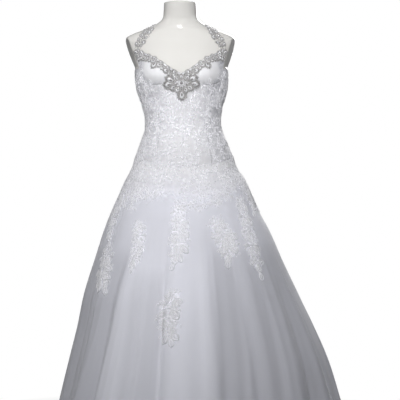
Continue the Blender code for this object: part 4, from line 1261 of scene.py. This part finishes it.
def spray(lace, spots, turn, size, rng, reach):
    """A spray of corded lace at each spot: a flower, three leaves, buds and two curls round it."""
    count = len(spots)
    lace.add(FLOWER, spots, turn, 0.78 * reach * size, raised=0.0002)
    for way, far, long in SPRAY_LEAVES:
        heading = turn + way + rng.normal(0, 0.30, count)
        lace.add(LEAF, spots, heading, long * reach * size, beside(heading, far * reach))
    for way in SPRAY_CURLS:
        heading = turn + way + rng.normal(0, 0.35, count)
        lace.add(CURL, spots, heading + 1.1, 0.62 * reach * size, beside(heading, 0.86 * reach))
        lace.add(BUD, spots, heading - 0.5, 0.42 * reach * size, beside(heading - 0.3, 1.30 * reach))
    lace.sew(DOME, spots, 0.0014)


def bodice_bed(angle, z, lift=0.0):
    """Skin under the bodice's lace, which rises over the net of the hips just above the seam."""
    return lace_bed(angle, z, lift + NET_LIFT * ease((seam_height(angle) + NET_CLEAR - z) / NET_CLEAR_RUN))


def bodice_lace():
    """Sprays in staggered rows over the bodice, in four joined pieces; the cups stay bare."""
    spots, turns, scale, rng = lace_spots(LACE_LOW_Z, LACE_TOP_Z, BODICE_GAP, 5)
    angle, z = spots.T
    edge = np.min([top_edge(angle + off) for off in (-12, -6, 0, 6, 12)], axis=0)
    worn = (z < edge - EDGE_BARE) & (z > seam_height(angle) + SEAM_BARE)
    worn &= bare_cup(angle, z) < CUP_BARE
    worn &= ~((np.abs(angle) < MOTIF_BARE[0]) & (z > MOTIF_BARE[1]))
    worn &= np.abs(np.abs(angle) - 180) > PLACKET_BARE
    aside = (np.abs(angle) > FRONT_ZONE) & (np.abs(angle) < BACK_ZONE)
    zones = (("front", np.abs(angle) <= FRONT_ZONE), ("left", aside & (angle < 0)),
             ("right", aside & (angle > 0)), ("back", np.abs(angle) >= BACK_ZONE))
    for name, zone in zones:
        pick = worn & zone
        lace = Lace(bodice_bed, BODICE_STEPS, BODICE_LIFT)
        spray(lace, spots[pick], turns[pick], scale[pick], rng, SPRAY_REACH)
        many = np.repeat(spots[pick], BODICE_SEQUINS, 0)
        many = many + rng.normal(0, 1, many.shape) * BODICE_STREWN
        lace.sew(DISC, many, rng.uniform(0.0010, 0.0015, len(many)))
        lace.make("lace_bodice_" + name)


bodice_lace()

# Sprigs: name, angle and height of the top, the same of the foot, reach to each side, clusters
SPRIGS = (
    ("sprig_left_hip", -71, 0.850, -60, 0.665, 0.028, 4),
    ("sprig_left_front", -36, 0.740, -32, 0.584, 0.026, 4),
    ("sprig_left_low", -58, 0.645, -52, 0.520, 0.036, 3),
    ("sprig_centre", -5, 0.790, -6, 0.600, 0.031, 5),
    ("sprig_centre_low", -3.5, 0.515, -6.5, 0.372, 0.040, 4),
    ("sprig_right_front", 22, 0.746, 27, 0.610, 0.036, 4),
    ("sprig_right_side", 55, 0.822, 45.5, 0.565, 0.032, 5),
    ("sprig_right_hip", 77, 0.862, 66, 0.765, 0.026, 2),
    ("sprig_back_left_hip", -112, 0.850, -126, 0.640, 0.030, 4),
    ("sprig_back_left", -150, 0.780, -148, 0.500, 0.034, 5),
    ("sprig_back_centre", 178, 0.700, 178, 0.420, 0.038, 5),
    ("sprig_back_right", 150, 0.800, 146, 0.560, 0.034, 5),
    ("sprig_back_right_hip", 112, 0.850, 122, 0.660, 0.030, 4),
)
# Leaves of a cluster: direction from the stem's own, length and distance in reaches
SPRIG_LEAVES = (
    (0.85, 0.98, 0.25), (-0.75, 0.92, 0.25), (0.30, 0.90, 0.55), (-0.25, 1.0, 0.50),
    (1.55, 0.72, 0.35), (-1.65, 0.76, 0.32),
)
SPRIG_BUDS = (1.15, -1.2, 2.2, -2.3)
SPRIG_CURLS = (2.6, -2.5, 0.1)
SPRIG_SEQUINS = 16       # for each cluster
SPRIG_LIFT = 0.0010
SPRIG_NET_LIFT = 0.0009
SPRIG_NET_WALL = 0.0005


def sprig_path(row, order, s):
    """Angle and height along a sprig, 0 at its foot and 1 at its top, bowed to one side."""
    _, top_angle, top_z, foot_angle, foot_z, _, _ = row
    bow = 3.0 * np.sin(pi * s) * (1 if order % 2 else -1)
    return np.stack([foot_angle + (top_angle - foot_angle) * s + bow, foot_z + (top_z - foot_z) * s], -1)


def path_turn(spots, ahead):
    """Direction of a path on the overlay at each spot, in radians from the right."""
    zero = 0.0 * spots[:, 0]
    here, there = OVERLAY_SKIN(*spots.T, zero), OVERLAY_SKIN(*ahead.T, zero)
    right = unit(OVERLAY_SKIN(spots[:, 0] + 2, spots[:, 1], zero)
                 - OVERLAY_SKIN(spots[:, 0] - 2, spots[:, 1], zero))
    rise = OVERLAY_SKIN(spots[:, 0], spots[:, 1] + 0.01, zero) - here
    up = np.cross(unit(np.cross(right, rise)), right)
    gone = there - here
    return np.arctan2((gone * up).sum(-1), (gone * right).sum(-1))


def sprig_threads(order, row):
    """Hanging sprig: flowers, leaves that point down and out, buds and curls along a bowed line."""
    name, reach, clusters = row[0], row[5], row[6]
    rng = np.random.default_rng(40 + order)
    lace = Lace(OVERLAY_SKIN, OVERLAY_STEPS, SPRIG_LIFT)
    place = (np.arange(clusters) + 0.55) / (clusters + 0.5)
    spots = sprig_path(row, order, 1 - place)
    down = path_turn(spots, sprig_path(row, order, 1 - place - 0.02))
    swell = reach * (0.62 + 0.42 * np.sin(pi * (np.arange(clusters) + 0.7) / (clusters + 0.4)))
    swell = swell * rng.uniform(0.88, 1.12, clusters)
    way = np.where((np.arange(clusters) + order) % 2, 1.0, -1.0)
    heart = beside(down + pi / 2 * way, 0.30 * swell)
    lace.add(FLOWER, spots, down + rng.uniform(0, 1, clusters), 0.58 * swell, heart, 0.0004)
    for spread, long, far in SPRIG_LEAVES:
        keep = rng.uniform(0, 1, clusters) < 0.90
        turn = down + spread + rng.normal(0, 0.22, clusters)
        size = long * swell * rng.uniform(0.62, 1.25, clusters)
        lace.add(LEAF, spots[keep], turn[keep], size[keep], beside(turn, far * swell)[keep])
    for spread in SPRIG_BUDS:
        turn = down + spread + rng.normal(0, 0.25, clusters)
        far = 0.92 * swell * rng.uniform(0.8, 1.15, clusters)
        lace.add(BUD, spots, turn + 0.4 * way, 0.30 * swell, beside(turn, far), 0.0002)
    for spread in SPRIG_CURLS:
        turn = down + spread + rng.normal(0, 0.3, clusters)
        lace.add(CURL, spots, turn, 0.50 * swell, beside(turn, 0.45 * swell))
    tail = sprig_path(row, order, np.array([0.10, 0.02]))
    tail_turn = path_turn(tail, sprig_path(row, order, np.array([0.06, 0.0])))
    lace.add(LEAF, tail, tail_turn + (0.35, 0.0), (0.75 * reach, 0.95 * reach))
    many = np.repeat(np.arange(clusters), SPRIG_SEQUINS)
    turn, far = rng.uniform(0, 2 * pi, len(many)), rng.uniform(0.1, 1.05, len(many)) * swell[many]
    lace.sew(DISC, spots[many], rng.uniform(0.0012, 0.0019, len(many)), beside(turn, far), 0.0014)
    lace.sew(DOME, spots, 0.0020, heart, 0.0016)
    lace.make(name + "_threads")


def sprig_net(order, row):
    """Net under a sprig: a strip along its line, its half width scalloped once for each cluster."""
    name, reach, clusters = row[0], row[5], row[6]
    t = np.linspace(0, 1, 60)[:, None]
    side = np.linspace(-1, 1, 9)[None, :]
    scallop = 0.62 + 0.38 * np.abs(np.sin(pi * (clusters + 0.2) * t))
    half = reach * scallop * np.sqrt(np.sin(pi * (0.02 + 0.96 * t)))
    line = sprig_path(row, order, t[:, 0])
    turns = path_turn(line, sprig_path(row, order, t[:, 0] + 0.01))
    flat = np.stack([np.sin(turns)[:, None] * side * half, -np.cos(turns)[:, None] * side * half], -1)
    outer, inner = (on_surface(OVERLAY_SKIN, line, flat, lift + 0 * flat[..., 0], OVERLAY_STEPS)
                    for lift in (SPRIG_NET_LIFT, SPRIG_NET_LIFT - SPRIG_NET_WALL))
    cloth(name, outer, unit(outer - inner), SPRIG_NET_WALL, NET, "lace")


for number, sprig_row in enumerate(SPRIGS):
    sprig_threads(number, sprig_row)
    sprig_net(number, sprig_row)

HIP_LACE = 0.098         # mean length of the hip lace below the seam, and what it gains by place
HIP_WAVES = 0.026
HIP_SIDES = 0.062
HIP_FRONT = 0.022
HIP_LEAVES = 0.010       # leafy scallops of its net's lower edge, and a finer ripple on them
HIP_RIPPLE = 0.006
HIP_NET_SHORT = 0.012    # how far the net stops above the lace's end
HIP_NET_LIFT = 0.0007
HIP_NET_WALL = 0.0004
HIP_LIFT = 0.0008        # of the sprays over the tulle
HIP_LOW_Z = 0.700        # no row of sprays below this height
HIP_THIN = 0.55          # share of the sprays left out at the lace's end, from this share of its length
HIP_THIN_FROM = 0.35
HIP_SEQUINS = 6          # for each spray, strewn by this much in metres
HIP_STREWN = 0.012
# How close the net is: a share, and where it comes in and over what part of the net's height
NET_CLOSE = ((0.80, 0.0, 0.65), (0.20, 0.68, 0.22))
NET_END = 0.03           # part of its height in which it thins out above the seam


def hip_reach(angle):
    """How far the lace runs below the seam: waves round the skirt, longer at the sides and in front."""
    turn = np.radians(angle)
    waves = HIP_WAVES * np.sin(3.5 * turn + 0.9) * np.sin(1.5 * turn + 0.4)
    return HIP_LACE + waves + HIP_SIDES * np.sin(turn) ** 2 + HIP_FRONT * np.clip(np.cos(turn), 0, 1) ** 8


def hip_ground():
    """Net ground of the hip lace: from just over the seam to a leafy lower edge, in a front and a back."""
    for name, start, end in (("front", -90.0, 90.0), ("back", 90.0, 270.0)):
        angle = np.linspace(start, end, 181)[None, :]
        share = np.linspace(0, 1, 36)[:, None]
        leafy = HIP_LEAVES * np.abs(np.sin(np.radians(angle) * 15))
        leafy = leafy + HIP_RIPPLE * np.sin(np.radians(angle) * 44)
        top = seam_height(angle) + NET_TOP
        low = seam_height(angle) - hip_reach(angle) + HIP_NET_SHORT - leafy
        z = low + (top - low) * share
        angle = angle + 0.0 * z
        outer, inner = (lace_bed(angle, z, lift + 0.0 * z)
                        for lift in (HIP_NET_LIFT, HIP_NET_LIFT - HIP_NET_WALL))
        points, faces = shell(outer, inner)
        close = sum(part * ease((share - begin) / run) for part, begin, run in NET_CLOSE)
        close = (close * ease((1 - share) / NET_END) + 0.0 * z).ravel()
        made = piece("hip_net_" + name, [(points, faces, HIP_NET)], "lace",
                     marks=np.concatenate([close, close]))


def hip_lace():
    """Sprays that run on from the bodice over the hips and thin out downwards, in two joined pieces."""
    rng = np.random.default_rng(11)
    spots = []
    for row, z in enumerate(np.arange(SEAM_SIDE_Z, HIP_LOW_Z, -ROW_SHARE * HIP_GAP)):
        wide = np.hypot(*skirt_outline(np.array(90.0), np.array(z))[:2])
        deep = np.hypot(*skirt_outline(np.array(0.0), np.array(z))[:2])
        count = int(pi * (wide + deep) / HIP_GAP)
        angle = (np.arange(count) + 0.5 * (row % 2)) * 360 / count - 180
        spots.append(np.stack([angle + rng.normal(0, 2.0, count), z + rng.normal(0, 0.005, count)], -1))
    spots = np.concatenate(spots)
    angle, z = spots.T
    worn = (z < seam_height(angle) + 0.006) & (z > seam_height(angle) - hip_reach(angle))
    down = (seam_height(angle) - z) / hip_reach(angle)
    worn &= rng.uniform(0, 1, len(z)) > HIP_THIN * ease(down - HIP_THIN_FROM)
    for name, zone in (("front", np.abs(angle) < 90), ("back", np.abs(angle) >= 90)):
        some = spots[worn & zone]
        lace = Lace(lace_bed, OVERLAY_STEPS, HIP_LIFT)
        turns, sizes = rng.uniform(0, 2 * pi, len(some)), rng.uniform(0.8, 1.2, len(some))
        spray(lace, some, turns, sizes, rng, SPRAY_REACH)
        many = np.repeat(some, HIP_SEQUINS, 0)
        sizes = rng.uniform(0.0011, 0.0016, len(many))
        lace.sew(DISC, many, sizes, rng.normal(0, HIP_STREWN, many.shape), 0.0012)
        lace.make("lace_hips_" + name)


hip_ground()
hip_lace()


# ---------------------------------------------------------------- beaded neckline, motif and straps
def paisley_parts(point, steps, spots, turns, sizes, lift):
    """Beaded paisleys: a low silver leaf, a pale middle, a rim of beads, a long stone and a small one."""
    leaf = leaf_shape(1.0, 0.33, 0.04, rows=6)
    rim = joined(*[moved(DOME, du=u, dv=v, size=0.062) for u, v in leaf_outline(1.0, 0.37, 16)])
    middle = moved(leaf_shape(1.0, 0.32, 0.12), du=0.24, size=0.56)
    middle = (middle[0] + (0, 0, 0.04), middle[1])
    stones = joined(moved(LONG_GEM, du=0.47, size=0.15), moved(GEM, du=0.84, size=0.07))
    raised = (stones[0] + (0, 0, 0.09), stones[1])
    return [strewn(point, steps, shape, spots, turns, sizes, lift)
            for shape in (leaf, middle, rim, raised)]


def fan(spot, toward, count, spread, size):
    """Spots, turns and sizes of paisleys spread round a direction from one spot, the middle ones longer."""
    share = np.linspace(-1, 1, count)
    return np.repeat([spot], count, 0), toward + spread * share, size * (1 - 0.22 * share ** 2)


def beadwork(name, point, steps, paisleys, stones, beads, nodes, lift=0.0012, ground=()):
    """One piece of beadwork from its paisleys, round stones and single beads, and its faceted stones."""
    spots, turns, sizes = (np.concatenate(rows) for rows in zip(*paisleys))
    leaf, middle, rim, long_stones = paisley_parts(point, steps, spots, turns, sizes, lift)
    stone_spots, stone_sizes = (np.concatenate(rows) for rows in zip(*stones))
    gems = strewn(point, steps, GEM, stone_spots, 0 * stone_sizes, stone_sizes, lift)
    bead_spots, bead_sizes = (np.concatenate(rows) for rows in zip(*beads))
    grains = strewn(point, steps, DOME, bead_spots, 0 * bead_sizes, bead_sizes, lift)
    piece(name, [(*joined(leaf, *ground), THREAD), (*middle, SEQUIN), (*joined(rim, grains), BEAD)],
          "beading", nodes)
    piece(name + "_stones", [(*joined(long_stones, gems), STONE)], "beading", facets=True)


# Band along the neckline: drop of its line under the top edge, less at the corners, and its two angles
BAND_DROP = 0.0100
BAND_RISE = 0.0020
BAND_START = 3.0
BAND_END = 54.0
BAND_PAISLEYS = 6        # to each side of the line
STONE_GAP = 0.0066
CHAIN_GAP = 0.0031
CHAIN_OFF = 0.0078       # distance of the bead chain from the line
RIBBON_HALF = 0.0016
BAND_RADIUS = 0.15       # of the figure there, which turns metres into degrees


def neckline_trim(side, way):
    """Band along the neckline: paisleys to both sides of a beaded line, and a fan at the strap's corner."""
    t = np.linspace(0, 1, 200)
    angle = BAND_START + t * (BAND_END - BAND_START)
    z = along(TOP_EDGE, 1, angle) - BAND_DROP + BAND_RISE * t
    line = np.stack([way * angle, z], -1)
    skin = bodice_point(line[:, 0], line[:, 1], 0 * t)
    run = np.concatenate([[0], np.cumsum(np.linalg.norm(np.diff(skin, axis=0), axis=1))])
    rise = np.arctan2(np.gradient(z), np.gradient(angle) * np.radians(1) * along(FORM, 1, z))
    rise = np.where(way > 0, rise, pi - rise)

    def at(where):
        """Angle and height of the line at a distance along it, and its direction there."""
        where = np.atleast_1d(where)
        return (np.stack([np.interp(where, run, line[:, 0]), np.interp(where, run, line[:, 1])], -1),
                np.interp(where, run, rise))

    def off(where, sideways):
        """Angle and height at a distance along the line and another to its side."""
        chain, turn = at(where)
        round_it = np.degrees(-np.sin(turn) * sideways / BAND_RADIUS)
        return chain + np.stack([round_it, np.cos(turn) * sideways], -1)

    total = run[-1]
    order = np.arange(BAND_PAISLEYS)
    spots, heading = at(np.linspace(0.004, total - 0.034, BAND_PAISLEYS))
    beat = np.cos(order * 2.3)
    hanging = 1.0 + 0.45 * (order == 3) + 0.15 * (order == 1)
    paisleys = [
        (spots, heading + way * 0.20, 0.0220 + 0.0024 * beat),
        (spots, heading - way * 0.62, 0.0265 - 0.0027 * beat),
        (spots, heading - way * 1.75, (0.0205 + 0.0022 * beat) * hanging),
    ]
    corner, corner_turn = at(total - 0.010)
    paisleys.append(fan(corner[0], corner_turn[0] + way * 0.10, 3, 0.85, 0.0250))
    paisleys.append(fan(corner[0], corner_turn[0] + pi - way * 0.10, 2, 0.55, 0.0240))
    paisleys.append(fan(corner[0], -pi / 2 - way * 0.20, 2, 0.32, 0.0360))
    middle, _ = at(np.arange(0.004, total, STONE_GAP))
    stones = [(middle, np.where(np.arange(len(middle)) % 3 == 0, 0.0026, 0.0018))]
    where = np.arange(0.001, total, CHAIN_GAP)
    beads = [(off(where, CHAIN_OFF * way), np.full(len(where), 0.0012))]
    ribbon = np.linspace(0, total, 90)[None, :] + np.zeros((3, 1))
    across = np.array([-RIBBON_HALF, 0.0, RIBBON_HALF])[:, None] * way + 0 * ribbon
    edge = off(ribbon.ravel(), across.ravel())
    band = bodice_point(edge[:, 0], edge[:, 1], 0.0009 + 0.0005 * (across.ravel() == 0))
    faces = quads(3, 90) if way > 0 else quads(3, 90)[:, ::-1]
    beadwork("neckline_beads_" + side, BODICE_SKIN, BODICE_STEPS, paisleys, stones, beads,
             ("neckline_trim_" + side,), ground=[(band, faces)])


neckline_trim("right", 1)
neckline_trim("left", -1)

MOTIF_Z = 1.1940         # middle of the centre motif
# Its paisleys: angle and height from the middle, direction in radians, length
MOTIF_PAISLEYS = (
    (7.0, 0.005, 0.42, 0.0420), (-7.0, 0.004, pi - 0.34, 0.0400),
    (9.0, -0.001, -0.06, 0.0400), (-9.0, -0.001, pi + 0.14, 0.0400),
    (5.5, -0.005, -0.62, 0.0330), (-5.5, -0.005, pi + 0.60, 0.0320),
    (2.5, -0.009, -1.10, 0.0280), (-2.5, -0.009, pi + 1.10, 0.0270),
    (4.5, 0.009, 0.70, 0.0250), (-4.5, 0.009, pi - 0.70, 0.0240),
    (0.0, 0.006, pi / 2, 0.0250), (0.0, -0.018, -pi / 2, 0.0420),
)
MOTIF_STONES = ((0.0, 0.0135), (0.0, -0.0150), (6.0, -0.003), (-6.0, -0.003))
MOTIF_RING = 0.0095      # radius of the beads round the middle stone
MOTIF_RADIUS = 0.125     # of the figure there, which turns metres into degrees


def centre_motif():
    """Wings, petals and a pointed drop under the neckline's point, about a framed stone."""
    heart = np.array([0.0, MOTIF_Z])
    at, up, turns, sizes = np.array(MOTIF_PAISLEYS).T
    paisleys = [(heart + np.stack([at, up], -1), turns, sizes)]
    ring = np.linspace(0, 2 * pi, 16, endpoint=False)
    sideways = np.degrees(MOTIF_RING * np.cos(ring) / MOTIF_RADIUS)
    round_it = np.stack([sideways, MOTIF_RING * np.sin(ring)], -1)
    stones = [(heart[None], np.array([0.0052])), (heart + np.array(MOTIF_STONES), np.full(4, 0.0030))]
    beads = [(heart + round_it, np.full(16, 0.0014))]
    beadwork("neckline_motif_beads", BODICE_SKIN, BODICE_STEPS, paisleys, stones, beads,
             ("neckline_motif",), lift=0.0016)


centre_motif()

# Strap's middle line on the viewer's right: share along it, x, y, z near the form's skin, half width
STRAP_FRONT = (
    (0.00, 0.1450, -0.060, 1.3160, 0.011),
    (0.20, 0.1415, -0.062, 1.3310, 0.0145),
    (0.45, 0.1285, -0.062, 1.3500, 0.0175),
    (0.70, 0.1155, -0.050, 1.3700, 0.0185),
    (0.88, 0.1055, -0.030, 1.3860, 0.0190),
    (1.00, 0.1000, -0.003, 1.3950, 0.0190),
)
STRAP_BACK = (
    (0.00, 0.1000, 0.0035, 1.3950, 0.0190),
    (0.15, 0.0978, 0.035, 1.3850, 0.0180),
    (0.40, 0.0920, 0.080, 1.3450, 0.015),
    (0.70, 0.0860, 0.105, 1.2950, 0.014),
    (1.00, 0.0800, 0.110, 1.2420, 0.013),
)
STRAP_ROWS = 60          # grid of the form's skin under a strap
STRAP_COLUMNS = 13
STRAP_SIDE = 0.026       # how far that grid reaches to each side
STRAP_PITCH = 0.0165     # between the pairs of paisleys
STRAP_CHAIN = 0.0029     # between the beads of the two outer chains, and of the middle one
STRAP_MIDDLE = 0.0032
BEAD_HALF = 0.0014
FORM_TREE = BVHTree.FromPolygons(FORM_POINTS.tolist(), FORM_FACES)


def nearest(points):
    """Nearest points of the form's skin and the normals there."""
    found = [FORM_TREE.find_nearest(Vector(point)) for point in points.reshape(-1, 3)]
    return (np.array([hit[0] for hit in found]).reshape(points.shape),
            np.array([hit[1] for hit in found]).reshape(points.shape))


def strap_patch(table, way):
    """Strip of the form's skin under a strap, as a function of metres along and across it.

    The grid is smoothed along the strap and read between its points in straight lines.
    """
    t = np.linspace(0, 1, STRAP_ROWS)
    line, out = nearest(np.stack([way * along(table, 1, t), along(table, 2, t), along(table, 3, t)], -1))
    ahead = unit(np.gradient(line, axis=0))
    aside = unit(np.cross(out, ahead))
    across = np.linspace(-STRAP_SIDE, STRAP_SIDE, STRAP_COLUMNS)
    skin, outs = nearest(line[:, None] + aside[:, None] * across[None, :, None])
    for _ in range(3):
        outs[1:-1] = (outs[:-2] + outs[2:] + 2 * outs[1:-1]) / 4
        skin[1:-1] = (skin[:-2] + skin[2:] + 2 * skin[1:-1]) / 4
    outs = unit(outs)
    run = np.concatenate([[0], np.cumsum(np.linalg.norm(np.diff(line, axis=0), axis=1))])

    def point(a, b, lift=0.0):
        """Point over the skin at metres along and across; past its ends it runs straight on."""
        row = np.clip(np.interp(a, run, np.arange(STRAP_ROWS)), 0, STRAP_ROWS - 1.001)
        column = (b + STRAP_SIDE) / (2 * STRAP_SIDE) * (STRAP_COLUMNS - 1)
        column = np.clip(column, 0, STRAP_COLUMNS - 1.001)
        i, j = row.astype(int), column.astype(int)
        p, q = (row - i)[..., None], (column - j)[..., None]
        spot, turned = (
            grid[i, j] * (1 - p) * (1 - q) + grid[i + 1, j] * p * (1 - q)
            + grid[i, j + 1] * (1 - p) * q + grid[i + 1, j + 1] * p * q for grid in (skin, outs))
        over = a - np.clip(a, 0, run[-1])
        ends = np.where(over[..., None] < 0, ahead[0], ahead[-1]) * over[..., None]
        return spot + ends + np.asarray(lift)[..., None] * turned

    return point, run[-1], lambda where: np.interp(where, run, along(table, 4, t))


def strap(side, way, part, table):
    """Open beaded strap: three wavy chains of beads, with pairs of paisleys, stones and bars between."""
    point, total, half_at = strap_patch(table, way)
    count = int(round(total / STRAP_PITCH))
    stations = (np.arange(count) + 0.5) * total / count
    half = half_at(stations)
    zero = 0 * stations
    paisleys = []
    for sideways in (-1, 1):
        spots = np.stack([stations - 0.004, zero + sideways * 0.0020], -1)
        size = half * (1.14 + 0.20 * np.cos(2.1 * np.arange(count) + sideways))
        heading = zero + sideways * (0.80 + 0.25 * np.sin(1.7 * np.arange(count)))
        paisleys.append((spots, heading, size))
    stones = [(np.stack([stations - 0.005, zero], -1), np.full(count, 0.0022)),
              (np.stack([stations + 0.005, zero], -1), np.full(count, 0.0016))]
    beads = []
    for sideways in (-1, 1):
        where = np.arange(-0.010 if part == "front" else 0.0015, total, STRAP_CHAIN)
        swing = np.cos(2 * pi * where / (total / count) + (sideways > 0) * 1.2)
        wave = half_at(where) * (0.78 + 0.22 * swing)
        beads.append((np.stack([where, sideways * wave], -1), np.full(len(where), BEAD_HALF)))
    middle = np.arange(0.001, total, STRAP_MIDDLE)
    beads.append((np.stack([middle, 0.0022 * np.sin(middle * 900)], -1), np.full(len(middle), BEAD_HALF)))
    across = np.linspace(-0.75, 0.75, 5)
    bars = np.stack([np.repeat(stations + 0.5 * total / count, 5)[:-5],
                     (half_at(stations + 0.5 * total / count)[:, None] * across).ravel()[:-5]], -1)
    beads.append((bars, np.full(len(bars), 0.0012)))
    beadwork("strap_%s_%s_beads" % (part, side), point, (0.002, 0.002), paisleys, stones, beads,
             ("strap_%s_%s" % (part, side),), lift=0.0010)


for side, way in (("left", -1), ("right", 1)):
    strap(side, way, "front", STRAP_FRONT)
    strap(side, way, "back", STRAP_BACK)


# ---------------------------------------------------------------- studio
FLOOR_RINGS = (0.02, 0.7, 1.4, 3.0, 9.0)
WORLD_LOW = 0.075        # strength of the surrounding light from below and from above
WORLD_HIGH = 0.180
# Lamps: name, place, what it is aimed at, width and height, watts, seen in reflections, spread
LAMPS = (
    ("key", (-0.10, -1.60, 1.85), (-0.05, 0.0, 1.05), (0.7, 0.6), 20.3, False, 180.0),
    ("side", (-1.69, -1.42, 1.10), (0.0, 0.0, 1.10), (0.8, 1.2), 3.8, False, 180.0),
    ("cup_left", (-1.15, -1.15, 1.36), (-0.10, -0.05, 1.215), (0.3, 0.25), 0.055, False, 20.0),
    ("cup_right", (1.15, -1.15, 1.36), (0.10, -0.05, 1.215), (0.3, 0.25), 0.055, False, 20.0),
    ("spark", (-0.08, -0.93, 3.19), (0.0, 0.0, 1.35), (0.17, 0.17), 6.0, True, 180.0),
    ("back", (0.9, 2.6, 2.2), (0.0, 0.0, 1.0), (1.8, 1.4), 54.0, True, 180.0),
)


def floor():
    """Pale floor that runs out to white between 0.62 and 1.10 m from its middle."""
    mesh = bpy.data.meshes.new("studio_floor")
    a = np.linspace(0, 2 * pi, 96, endpoint=False)
    rings = np.stack([np.stack([r * np.cos(a), r * np.sin(a), 0 * a], -1) for r in FLOOR_RINGS])
    faces = quads(len(FLOOR_RINGS), 96, wrap=True)[:, ::-1].tolist() + [list(range(96))]
    mesh.from_pydata(rings.reshape(-1, 3).tolist(), [], faces)
    made = bpy.data.objects.new("studio_floor", mesh)
    bpy.context.scene.collection.objects.link(made)
    paint = finish("pale_floor", (0.86, 0.86, 0.87), 0.8)
    tree = paint.node_tree
    far = node(paint, "VectorMath", (node(paint, "TexCoord").outputs["Object"], 0), operation="LENGTH")
    share = ranged(paint, far.outputs["Value"], 0.0, 1.0, 0.62, 1.10)
    glow = node(paint, "Emission", Color=(1, 1, 1, 1))
    pale = tree.nodes["Principled BSDF"].outputs[0]
    mix = node(paint, "MixShader", (share, 0), (pale, 1), (glow.outputs[0], 2))
    tree.links.new(mix.outputs[0], tree.nodes["Material Output"].inputs["Surface"])
    mesh.materials.append(paint)
    made.visible_diffuse = False
    made.visible_glossy = False


def lamp(name, spot, target, size, power, glossy, spread):
    """Area lamp aimed at a point; one that isn't glossy lights without a highlight of its own."""
    data = bpy.data.lights.new(name, "AREA")
    data.shape = "RECTANGLE"
    data.size, data.size_y = size
    data.energy = power
    data.spread = radians(spread)
    made = bpy.data.objects.new(name, data)
    made.location = spot
    made.rotation_euler = (Vector(target) - Vector(spot)).to_track_quat("-Z", "Y").to_euler()
    made.visible_camera = False
    made.visible_glossy = glossy
    bpy.context.scene.collection.objects.link(made)


def studio_light():
    """White all round for the camera; for the dress a soft light, paler from above than from below."""
    world = bpy.data.worlds.new("studio")
    bpy.context.scene.world = world
    world.use_nodes = True
    tree = world.node_tree
    up = node(world, "SeparateXYZ", (node(world, "TexCoord").outputs["Generated"], 0)).outputs["Z"]
    soft = tree.nodes["Background"]
    soft.inputs["Color"].default_value = (0.96, 0.97, 1.0, 1)
    strength = ranged(world, up, WORLD_LOW, WORLD_HIGH, start=-0.6, end=0.9)
    tree.links.new(strength, soft.inputs["Strength"])
    white = node(world, "Background", Color=(1, 1, 1, 1))
    seen = node(world, "LightPath").outputs["Is Camera Ray"]
    mix = node(world, "MixShader", (seen, 0), (soft.outputs[0], 1), (white.outputs[0], 2))
    tree.links.new(mix.outputs[0], tree.nodes["World Output"].inputs["Surface"])


floor()
studio_light()
for lamp_row in LAMPS:
    lamp(*lamp_row)

PIXEL = 0.0034           # metres a pixel of the square frame, in the plane X-Z through the pole
FRAME_PIXELS = 400
SENSOR = 36.0
CAMERA_X = 0.0534        # middle of the frame
CAMERA_Z = 0.805
CAMERA_FAR = 4.6
camera = bpy.data.objects.new("camera", bpy.data.cameras.new("camera"))
camera.location = (CAMERA_X, -CAMERA_FAR, CAMERA_Z)
camera.rotation_euler = (pi / 2, 0, 0)
camera.data.sensor_width = SENSOR
camera.data.lens = SENSOR * CAMERA_FAR / (FRAME_PIXELS * PIXEL)
camera.data.clip_end = 60.0
bpy.context.scene.collection.objects.link(camera)
bpy.context.scene.camera = camera
bpy.context.scene.view_settings.view_transform = "Standard"
